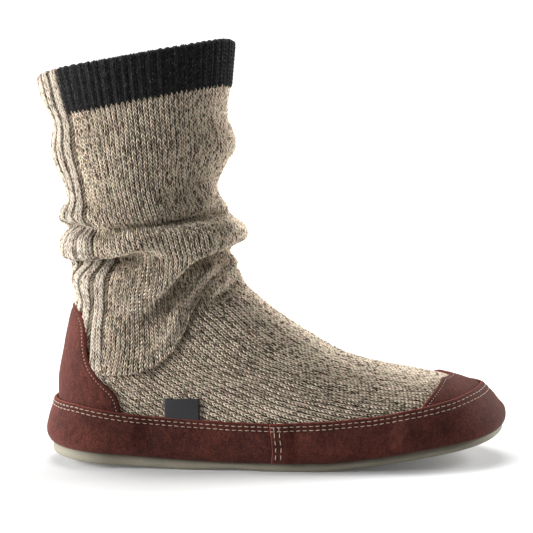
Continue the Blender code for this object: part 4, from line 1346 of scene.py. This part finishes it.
INSOLE_INSET = KNIT_WALL + 0.0008
Hollow = namedtuple("Hollow", "x y length width depth")
HOLLOWS = (Hollow(0.045, -0.002, 0.028, 0.020, 0.0009), Hollow(0.185, 0.0, 0.032, 0.028, 0.0007))
TAB_GRID = (22, 44)
TAB_TOP_WAVE = 0.0004
TAB_TOP_TURN = 70.0
TAB_TUCK = 0.0040
TAB_BOW = 0.0006
TAB_STAND = 0.0009
TAB_THICK = 0.0009
TAB_ROUND = 0.0006
TAB_INSIDE = 0.0006


def plan_ring(columns, outset):
    """The feather line in plan, moved outwards by outset. Unless that is far inside, it is
    moved further at heel and toe, as the sole is."""
    angle = np.arange(columns) * 2.0 * np.pi / columns
    outline = smooth_sock(np.zeros(columns), angle)[:, :2]
    ahead = smooth_sock(np.zeros(columns), angle + SMALL_STEP)[:, :2]
    behind = smooth_sock(np.zeros(columns), angle - SMALL_STEP)[:, :2]
    along = unit(ahead - behind)
    x = outline[:, 0]
    if outset > FAR_INSIDE:
        outset = outset + HEEL_REACH * at_heel(x) + TOE_REACH * at_toe(x)
    return outline + np.stack([along[:, 1], -along[:, 0]], axis=1) * np.reshape(outset, (-1, 1))


def fill_across(ring, steps, height):
    """A grid across a closed ring whose points pair up at the same x. height(x, y) is added
    to the heights of the ring."""
    half = len(ring) // 2
    left = ring[:half + 1]
    right = ring[-np.arange(half + 1) % len(ring)]
    u = np.linspace(0.0, 1.0, steps)[None, :, None]
    grid = left[:, None, :] * (1.0 - u) + right[:, None, :] * u
    grid[..., 2] += height(grid[..., 0], grid[..., 1])
    return grid


def stack_of_rings(rings, low_steps, low_height, top_steps, top_height):
    """Closed rings one on the other, filled across the lowest and the highest. Returns the
    points and faces of the whole, and how many points each of its three grids has."""
    wall = np.stack(rings)
    around = grid_faces(*wall.shape[:2], wrap=True)
    parts = [(wall, facing(wall, around, wall - wall.mean(axis=1, keepdims=True)))]
    for ring, steps, height, way in ((rings[0], low_steps, low_height, -1.0),
                                     (rings[-1], top_steps, top_height, 1.0)):
        sheet = fill_across(ring, steps, height)
        normals = np.broadcast_to([0.0, 0.0, way], sheet.shape)
        parts.append((sheet, facing(sheet, grid_faces(*sheet.shape[:2]), normals)))
    return *joined(parts), [part.size // 3 for part, _ in parts]


def level(x, y):
    """No height anywhere."""
    return 0.0 * x


def tread(x, y, outline):
    """Shallow wavy grooves across the underside, fading out before its outline."""
    wave = x + TREAD_WAVE * np.sin(y * 2.0 * np.pi / TREAD_WAVE_LENGTH)
    cut_in = smooth_step(np.abs(np.mod(wave / TREAD_PITCH, 1.0) - 0.5), *TREAD_WALL)
    return TREAD_DEPTH * cut_in * smooth_step(nearest(np.stack([x, y], axis=-1), outline), *TREAD_FADE)


def make_outsole(rubber):
    """Moulded sole: treaded underside, round lower edge and a wall that hollows a little under
    the suede. Its under-welt value sets painted shade: 1 at the wall's top and on the sole's top face, 0
    from the wall's middle down."""
    rings = []
    for turn in np.linspace(0.0, 0.5 * np.pi, SOLE_EDGE_STEPS):
        plan = plan_ring(SOLE_COLUMNS, SOLE_OUTSET - SOLE_EDGE_ROUND * (1.0 - np.sin(turn)))
        lift = SOLE_EDGE_ROUND * (1.0 - np.cos(turn))
        rings.append(np.column_stack([plan, sole_bottom(plan[:, 0]) + lift]))
    top, low = sole_top(plan_ring(SOLE_COLUMNS, 0.0)[:, 0]), rings[-1][:, 2]
    for share, outset in WALL_PROFILE:
        plan = plan_ring(SOLE_COLUMNS, SOLE_OUTSET + outset)
        rings.append(np.column_stack([plan, low + (top - low) * share]))
    points, faces, (_, low_count, top_count) = stack_of_rings(
        rings, TREAD_ACROSS, lambda x, y: tread(x, y, rings[0][:, :2]), SOLE_TOP_ACROSS, level)
    shares = np.append(np.zeros(len(rings) - len(WALL_PROFILE)), [share for share, _ in WALL_PROFILE])
    # Painted shade under the suede: full at the wall's top and on the sole's top, none from the wall's
    # middle down.
    under = np.concatenate([np.repeat(smooth_step(shares, *WELT_SHADE), SOLE_COLUMNS),
                            np.zeros(low_count), np.ones(top_count)])
    make_piece("moulded_sole", points, faces, rubber, "sole", "outsole", values={"painted_welt_shade": under})


def insole_hollows(x, y):
    """Minus the hollows' depths, each a bell curve over x and y."""
    return -sum(depth * np.exp(-((x - at_x) / length) ** 2 - ((y - at_y) / width) ** 2)
                for at_x, at_y, length, width, depth in HOLLOWS)


def make_insole(felt):
    """Footbed inside the sock, with a rounded upper edge and a shallow hollow under the heel
    and under the ball: each of its rings has a lift over the sole and an inset."""
    rings = []
    for lift, inset in INSOLE_RINGS:
        plan = plan_ring(INSOLE_COLUMNS, -(INSOLE_INSET + inset))
        rings.append(np.column_stack([plan, sole_top(plan[:, 0]) + GAP + lift]))
    points, faces, _ = stack_of_rings(rings, INSOLE_ACROSS[0], level, INSOLE_ACROSS[1], insole_hollows)
    make_piece("footbed", points, faces, felt, "insole", "insole")


def make_tab(weave):
    """A blank woven tab, folded over at its top and sewn in behind the foxing's edge."""
    x = np.linspace(*LABEL_X, TAB_GRID[1])[None, :]
    down = np.linspace(0.0, 1.0, TAB_GRID[0])[:, None]
    low = foxing_top(x) - TAB_TUCK
    z = LABEL_TOP_Z + TAB_TOP_WAVE * np.sin(TAB_TOP_TURN * x) - (LABEL_TOP_Z - low) * down
    rows, angles = side_place(x + 0.0 * z, z)
    side = np.minimum(x - LABEL_X[0], LABEL_X[1] - x)
    away = np.minimum(side, LABEL_TOP_Z - z)
    bow = TAB_BOW * np.sin(np.pi * (x - LABEL_X[0]) / (LABEL_X[1] - LABEL_X[0])) * (1.0 - down)
    stand = TAB_STAND + bow + TAB_THICK * round_rim(away, TAB_ROUND)
    outer, normals = on_sock(rows, angles, stand)
    inner, _ = on_sock(rows, angles, TAB_INSIDE + bow)
    points, faces = closed_sheet(outer, inner, normals)
    weave_map = np.stack(np.broadcast_arrays(x * 1000.0, z * 1000.0), axis=-1).reshape(-1, 2)
    make_piece("side_tab", points, faces, weave, "label", "side_label",
               {"threads": np.concatenate([weave_map, weave_map])})


# ---------------------------------------------------------------------------
# Finishes.
class Value:
    """A socket that can be used in sums on numbers: each sum adds its own Math node."""

    def __init__(self, finish, socket):
        self.finish, self.socket = finish, socket

    def maths(self, operation, *items):
        return self.finish.node("Math", {"operation": operation}, dict(enumerate(items)))

    def __abs__(self):
        return self.maths("ABSOLUTE", self)

    def fraction(self):
        return self.maths("FRACT", self)

    def whole(self):
        return self.maths("FLOOR", self)

    def wave(self):
        """0.5 plus half the sine of the value times a full turn."""
        return self.maths("SINE", self * (2.0 * np.pi)) * 0.5 + 0.5

    def between(self, low, high):
        """0 below low and 1 above high, with a soft step between."""
        return self.finish.node("MapRange", {"interpolation_type": "SMOOTHSTEP"},
                                {"Value": self, "From Min": low, "From Max": high})


# The sums a Value takes part in, each also with the number on its left.
for sign, operation in (("add", "ADD"), ("sub", "SUBTRACT"), ("mul", "MULTIPLY"),
                        ("truediv", "DIVIDE"), ("pow", "POWER")):
    setattr(Value, f"__{sign}__", lambda a, b, how=operation: a.maths(how, a, b))
    setattr(Value, f"__r{sign}__", lambda a, b, how=operation: a.maths(how, b, a))


class Finish:
    """A material under construction round one principled shader."""

    def __init__(self, name):
        self.material = bpy.data.materials.new(name)
        self.material.use_nodes = True
        self.tree = self.material.node_tree
        self.tree.nodes.clear()

    def node(self, kind, settings=None, inputs=None, output=0):
        """Adds a node: first its settings, then the numbers or links of its sockets."""
        made = self.tree.nodes.new("ShaderNode" + kind)
        for name, setting in (settings or {}).items():
            setattr(made, name, setting)
        for name, item in (inputs or {}).items():
            if isinstance(item, Value):
                self.tree.links.new(item.socket, made.inputs[name])
            else:
                made.inputs[name].default_value = item
        return Value(self, made.outputs[output])

    def place(self):
        return self.node("TexCoord", output="Object")

    def drawn_out(self, scale, turn=(0.0, 0.0, 0.0)):
        """The place turned and scaled, which draws noise out into strokes."""
        return self.node("Mapping", None, {"Vector": self.place(), "Rotation": turn, "Scale": scale})

    def map_parts(self, name):
        """The two numbers of one of the piece's own maps."""
        apart = self.node("SeparateXYZ", None, {0: self.node("UVMap", {"uv_map": name})})
        return apart, Value(self, apart.socket.node.outputs[1])

    def vector(self, x, y, z=0.0):
        return self.node("CombineXYZ", None, {0: x, 1: y, 2: z})

    def attribute(self, name):
        return self.node("Attribute", {"attribute_name": name}, output="Fac")

    def noise(self, place, scale, detail=2.0, roughness=0.5):
        return self.node("TexNoise", None, {
            "Vector": place, "Scale": scale, "Detail": detail, "Roughness": roughness})

    def chance(self, place):
        """A number from 0 to 1 that is unrelated from one whole place to the next."""
        return self.node("TexWhiteNoise", {"noise_dimensions": "2D"}, {"Vector": place})

    def blend(self, share, first, second, how="MIX"):
        return self.node("Mix", {"data_type": "RGBA", "blend_type": how, "clamp_factor": True},
                         {0: share, 6: first, 7: second}, 2)

    def shade(self, colour, amount):
        """The colour times a number."""
        return self.node("VectorMath", {"operation": "SCALE"}, {0: colour, "Scale": amount})

    def bump(self, height, distance, strength=1.0):
        return self.node("Bump", None, {"Height": height, "Distance": distance, "Strength": strength})

    def close(self, colour, roughness, normal, **fixed):
        """The principled shader. fixed holds sockets that are the same all over."""
        shader = self.node("BsdfPrincipled", None, {
            "Base Color": colour, "Roughness": roughness, "Normal": normal,
            **{name.replace("_", " "): number for name, number in fixed.items()}})
        end = self.tree.nodes.new("ShaderNodeOutputMaterial")
        self.tree.links.new(shader.socket, end.inputs["Surface"])
        return self.material


def yarn_finish(name, pale, dark, middle, relief, sheen, furrow=0.0, flecks=0.0):
    """Marled yarn. Each leg of each loop has its own mix of the two plies, which twist round
    each other along it; fibres stand up. Painted shade darkens the gaps between strands and
    wales and the dips at the loops' heads, as deep as relief. middle is where the mix turns
    from pale to dark, furrow is how deep painted shade lies in the furrows between ribs, and
    flecks is how much pale hair lies over it."""
    finish = Finish(name)
    wale, course = finish.map_parts("stitches")
    across = abs(wale.fraction() - 0.5)
    strand = course.fraction()
    half_wale, row = (wale * 2.0).whole(), course.whole()
    own = finish.chance(finish.vector(half_wale, row))
    cast = finish.chance(finish.vector(half_wale + 31.0, row))
    twist = (strand * 0.8 + across * 2.4 + own * 5.0).wave()
    patch = finish.noise(finish.place(), 700.0, 2.0, 0.6)
    drift = finish.noise(finish.place(), 60.0, 2.0)
    mix = own * 0.42 + twist * 0.38 + (patch - 0.5) * 0.24 + (drift - 0.5) * 0.12
    mix = mix.between(middle - 0.18, middle + 0.18)
    rosy = finish.blend(cast, (1.05, 0.97, 0.96, 1.0), (0.95, 1.0, 0.93, 1.0))
    colour = finish.blend(1.0, finish.blend(mix, pale, dark), rosy, "MULTIPLY")
    fibres = finish.noise(finish.place(), 2400.0, 2.0, 0.6)
    # Painted shade: darker where strands meet, in the gap between a wale's two legs and where the loops'
    # heads dip.
    gap = 1.0 - relief * abs((strand - 0.5) * 2.0) ** 1.5
    wale_gap_shade = 1.0 - relief * (1.0 - across.between(0.01, 0.17))
    head = 1.0 - 0.35 * relief * across.between(0.40, 0.5)
    # Painted shade in the furrows between the back ribs, as deep as furrow.
    furrow_shade = 1.0 - furrow * abs((wale / WALES_A_RIB).fraction() - 0.5).between(0.40, 0.49)
    colour = finish.shade(colour, (0.86 + 0.40 * fibres) * gap * wale_gap_shade * head * furrow_shade)
    if flecks:
        hair = finish.noise(finish.drawn_out((1.0, 1.0, 0.35), (0.0, 0.5, 0.0)), 1500.0, 3.0, 0.7)
        colour = finish.blend(hair.between(0.56, 0.72) * flecks, colour, (0.20, 0.195, 0.20, 1.0))
    height = twist * 0.5 + fibres * 0.7
    return finish.close(colour, 0.93, finish.bump(height, 0.00022, 0.7),
                        Sheen_Weight=sheen, Sheen_Roughness=0.45, Specular_IOR_Level=0.2)


def suede_finish():
    """Brick-brown suede: a fine standing nap, brushed lighter and darker in small strokes and
    soft patches, darker along its lines of thread, with a raw edge in the hide's own red."""
    finish = Finish("brushed suede")
    place = finish.place()
    broad = finish.noise(place, 42.0, 3.0, 0.55)
    strokes = finish.noise(finish.drawn_out((1.0, 1.0, 0.55)), 420.0, 4.0, 0.65)
    nap = finish.noise(place, 1150.0, 3.0, 0.7)
    tone = broad.between(0.32, 0.68) * 0.42 + strokes.between(0.28, 0.72) * 0.58
    colour = finish.blend(tone, (0.0235, 0.0062, 0.0046, 1.0), (0.0800, 0.0205, 0.0142, 1.0))
    colour = finish.shade(colour, 0.42 + 1.16 * nap.between(0.25, 0.75))
    # Darker along the lines of thread.
    along_thread = finish.attribute("sewn")
    colour = finish.shade(colour, 1.0 - 0.25 * along_thread)
    raw = finish.attribute("raw_edge")
    ragged = (raw * (0.6 + 0.9 * nap)).between(0.35, 0.75)
    colour = finish.blend(ragged * 0.8, colour, (0.165, 0.040, 0.028, 1.0))
    height = nap * 0.9 + strokes * 0.5 + raw * nap * 0.6
    return finish.close(colour, 0.92, finish.bump(height, 0.00034, 0.85),
                        Sheen_Weight=0.07, Sheen_Roughness=0.5, Sheen_Tint=(0.95, 0.50, 0.42, 1.0),
                        Specular_IOR_Level=0.15)


def cord_finish():
    """Waxed sewing thread, spun with a fine slant."""
    finish = Finish("sewing thread")
    place = finish.place()
    fibres = finish.noise(place, 3600.0, 2.0)
    tone = finish.noise(place, 300.0, 2.0)
    colour = finish.blend(tone, (0.31, 0.215, 0.160, 1.0), (0.50, 0.385, 0.295, 1.0))
    colour = finish.shade(colour, 0.75 + 0.5 * fibres)
    return finish.close(colour, 0.7, finish.bump(fibres, 0.00015, 0.7), Sheen_Weight=0.15,
                        Specular_IOR_Level=0.3)


def rubber_finish():
    """Olive-grey moulded foam rubber with a fine pebble and lighter scuffs, and painted shade darkening the
    upper part of its wall under the suede.
    """
    finish = Finish("moulded rubber")
    place = finish.place()
    cloud = finish.noise(place, 70.0, 3.0, 0.6)
    pebble = finish.noise(place, 1300.0, 2.0, 0.5)
    scuff = finish.noise(finish.drawn_out((0.3, 0.3, 1.6)), 500.0, 4.0, 0.7)
    colour = finish.blend(cloud, (0.150, 0.136, 0.100, 1.0), (0.215, 0.198, 0.150, 1.0))
    colour = finish.blend(scuff.between(0.58, 0.74) * 0.35, colour, (0.34, 0.32, 0.26, 1.0))
    # Painted shade: darker where the sole lies under the suede.
    colour = finish.shade(colour, 1.0 - 0.45 * finish.attribute("painted_welt_shade"))
    return finish.close(colour, 0.72 + 0.16 * pebble, finish.bump(pebble * 0.6 + scuff * 0.4, 0.00018, 0.6),
                        Specular_IOR_Level=0.35)


def felt_finish():
    """Grey-brown wool felt, heathered with paler fibres."""
    finish = Finish("wool felt")
    place = finish.place()
    fibres = finish.noise(finish.drawn_out((0.5, 1.6, 1.0)), 900.0, 5.0, 0.7)
    cloud = finish.noise(place, 60.0, 2.0)
    colour = finish.blend(fibres.between(0.35, 0.70), (0.085, 0.070, 0.056, 1.0), (0.30, 0.26, 0.22, 1.0))
    colour = finish.shade(colour, 0.8 + 0.4 * cloud)
    return finish.close(colour, 0.95, finish.bump(fibres, 0.0004, 0.8), Sheen_Weight=0.4,
                        Specular_IOR_Level=0.15)


def tab_finish():
    """Close charcoal weave, warp over weft in turn."""
    finish = Finish("woven tab")
    x, z = finish.map_parts("threads")
    warp, weft = (x * 1.7).wave(), (z * 1.7).wave()
    over = abs(warp - weft)
    fibres = finish.noise(finish.place(), 2600.0, 2.0)
    colour = finish.blend(over, (0.012, 0.012, 0.014, 1.0), (0.026, 0.026, 0.029, 1.0))
    colour = finish.shade(colour, 0.7 + 0.6 * fibres)
    return finish.close(colour, 0.8, finish.bump(over + 0.4 * fibres, 0.00012, 0.7), Sheen_Weight=0.1,
                        Specular_IOR_Level=0.3)


def floor_finish():
    """White paper that glows a little, and glows fully well behind the slipper."""
    finish = Finish("studio paper")
    x = finish.node("SeparateXYZ", None, {0: finish.place()})
    y = Value(finish, x.socket.node.outputs[1])
    far = ((x * x + y * y) ** 0.5).between(0.35, 1.1) * y.between(-0.4, 0.3)
    glow = finish.blend(far, (0.06, 0.06, 0.06, 1.0), (1.0, 1.0, 1.0, 1.0))
    paper = finish.noise(finish.place(), 40.0, 2.0)
    colour = finish.shade((0.64, 0.64, 0.64), 0.99 + 0.02 * paper)
    return finish.close(colour, 0.9, finish.bump(paper, 0.0001, 0.1), Specular_IOR_Level=0.1,
                        Emission_Color=glow, Emission_Strength=1.0)


# ---------------------------------------------------------------------------
# Studio: a round white floor whose rim curves up, soft lights and the camera.
FLOOR_RADIUS = 3.2
FLOOR_RIM = 1.6
FLOOR_SIDES = 96
FLOOR_STEPS = 12
FLOOR_RIM_STEPS = 24
LIGHT_TARGET = (0.0, 0.0, 0.10)
AIR_STRENGTH = 0.02
CAMERA_EYE = Vector((-0.0055, -1.2, 0.2536))
CAMERA_TARGET = Vector((-0.0055, 0.0, 0.1141))
CAMERA_LENS = 137.8
CAMERA_SENSOR = 36.0
CAMERA_CLIP = (0.05, 20.0)


def make_floor(paper):
    """A disc that turns up at its rim as a quarter circle."""
    turn = np.linspace(0.0, 0.5 * np.pi, FLOOR_RIM_STEPS)
    flat_part = np.linspace(0.0, FLOOR_RADIUS, FLOOR_STEPS)[:-1]
    radius = np.concatenate([flat_part, FLOOR_RADIUS + FLOOR_RIM * np.sin(turn)])
    height = np.concatenate([0.0 * flat_part, FLOOR_RIM * (1.0 - np.cos(turn))])
    around = np.arange(FLOOR_SIDES) * 2.0 * np.pi / FLOOR_SIDES
    points = np.stack(np.broadcast_arrays(
        radius[:, None] * np.cos(around), radius[:, None] * np.sin(around), height[:, None]), axis=-1)
    names = np.arange(len(radius) * FLOOR_SIDES).reshape(-1, FLOOR_SIDES)
    names[0] = 0
    faces = grid_faces(*names.shape, wrap=True, names=names).tolist()
    mesh = bpy.data.meshes.new("studio_floor")
    mesh.from_pydata(points.reshape(-1, 3).tolist(), [], [list(dict.fromkeys(face)) for face in faces])
    mesh.shade_smooth()
    mesh.materials.append(paper)
    floor = bpy.data.objects.new("studio_floor", mesh)
    bpy.context.scene.collection.objects.link(floor)


def aim(thing, eye, target):
    thing.location = eye
    thing.rotation_euler = (Vector(target) - Vector(eye)).to_track_quat("-Z", "Y").to_euler()
    bpy.context.scene.collection.objects.link(thing)


def make_light(name, eye, size, power):
    light = bpy.data.lights.new(name, "AREA")
    light.shape, light.size, light.size_y = "RECTANGLE", size[0], size[1]
    light.energy = power
    aim(bpy.data.objects.new(name, light), eye, LIGHT_TARGET)


def make_air():
    """Faint even light from all round."""
    world = bpy.data.worlds.new("studio_air")
    world.use_nodes = True
    background = world.node_tree.nodes["Background"]
    background.inputs["Strength"].default_value = AIR_STRENGTH
    background.inputs["Color"].default_value = (1.0, 1.0, 1.0, 1.0)
    return world


def make_studio():
    make_floor(floor_finish())
    make_light("left_softbox", (-1.37, -0.40, 0.32), (0.7, 0.8), 46.0)
    make_light("rear_softbox", (-1.30, 0.40, 0.35), (0.7, 0.8), 18.0)
    make_light("right_softbox", (1.20, 0.55, 0.55), (0.8, 0.8), 31.0)
    make_light("top_softbox", (-0.12, 0.48, 1.50), (1.0, 1.0), 27.0)
    bpy.context.scene.world = make_air()
    camera = bpy.data.cameras.new("camera")
    camera.lens, camera.sensor_width = CAMERA_LENS, CAMERA_SENSOR
    camera.clip_start, camera.clip_end = CAMERA_CLIP
    seen = bpy.data.objects.new("camera", camera)
    aim(seen, CAMERA_EYE, CAMERA_TARGET)
    bpy.context.scene.camera = seen
    bpy.context.scene.view_settings.view_transform = "Standard"


def make_slipper():
    pale, brown = (0.84, 0.722, 0.584, 1.0), (0.085, 0.053, 0.034, 1.0)
    yarn = yarn_finish("marled wool", pale, brown, 0.50, 0.90, 0.18)
    # The rib yarn's last value is how deep painted shade lies in the furrows between ribs.
    rib_yarn = yarn_finish("marled wool ribs", (0.55, 0.482, 0.405, 1.0), brown, 0.54, 0.70, 0.14, 0.65)
    dark_yarn = yarn_finish("charcoal wool", (0.018, 0.0175, 0.0185, 1.0), (0.006, 0.006, 0.006, 1.0),
                            0.40, 0.6, 0.04, 0.0, 0.55)
    make_shaft(yarn, dark_yarn)
    make_back_ribs(rib_yarn)
    make_foot(yarn)
    make_lining(yarn)
    nap = suede_finish()
    for overlay in (COUNTER, CAP):
        make_overlay(overlay, nap)
    rear_end, front_end = band_ends()
    make_foxing("foxing_rear", -rear_end, rear_end, 0.0, nap)
    make_foxing("foxing_front", front_end, 2.0 * np.pi - front_end, FRONT_LAP, nap)
    make_thread(cord_finish())
    make_outsole(rubber_finish())
    make_insole(felt_finish())
    make_tab(tab_finish())


make_slipper()
make_studio()
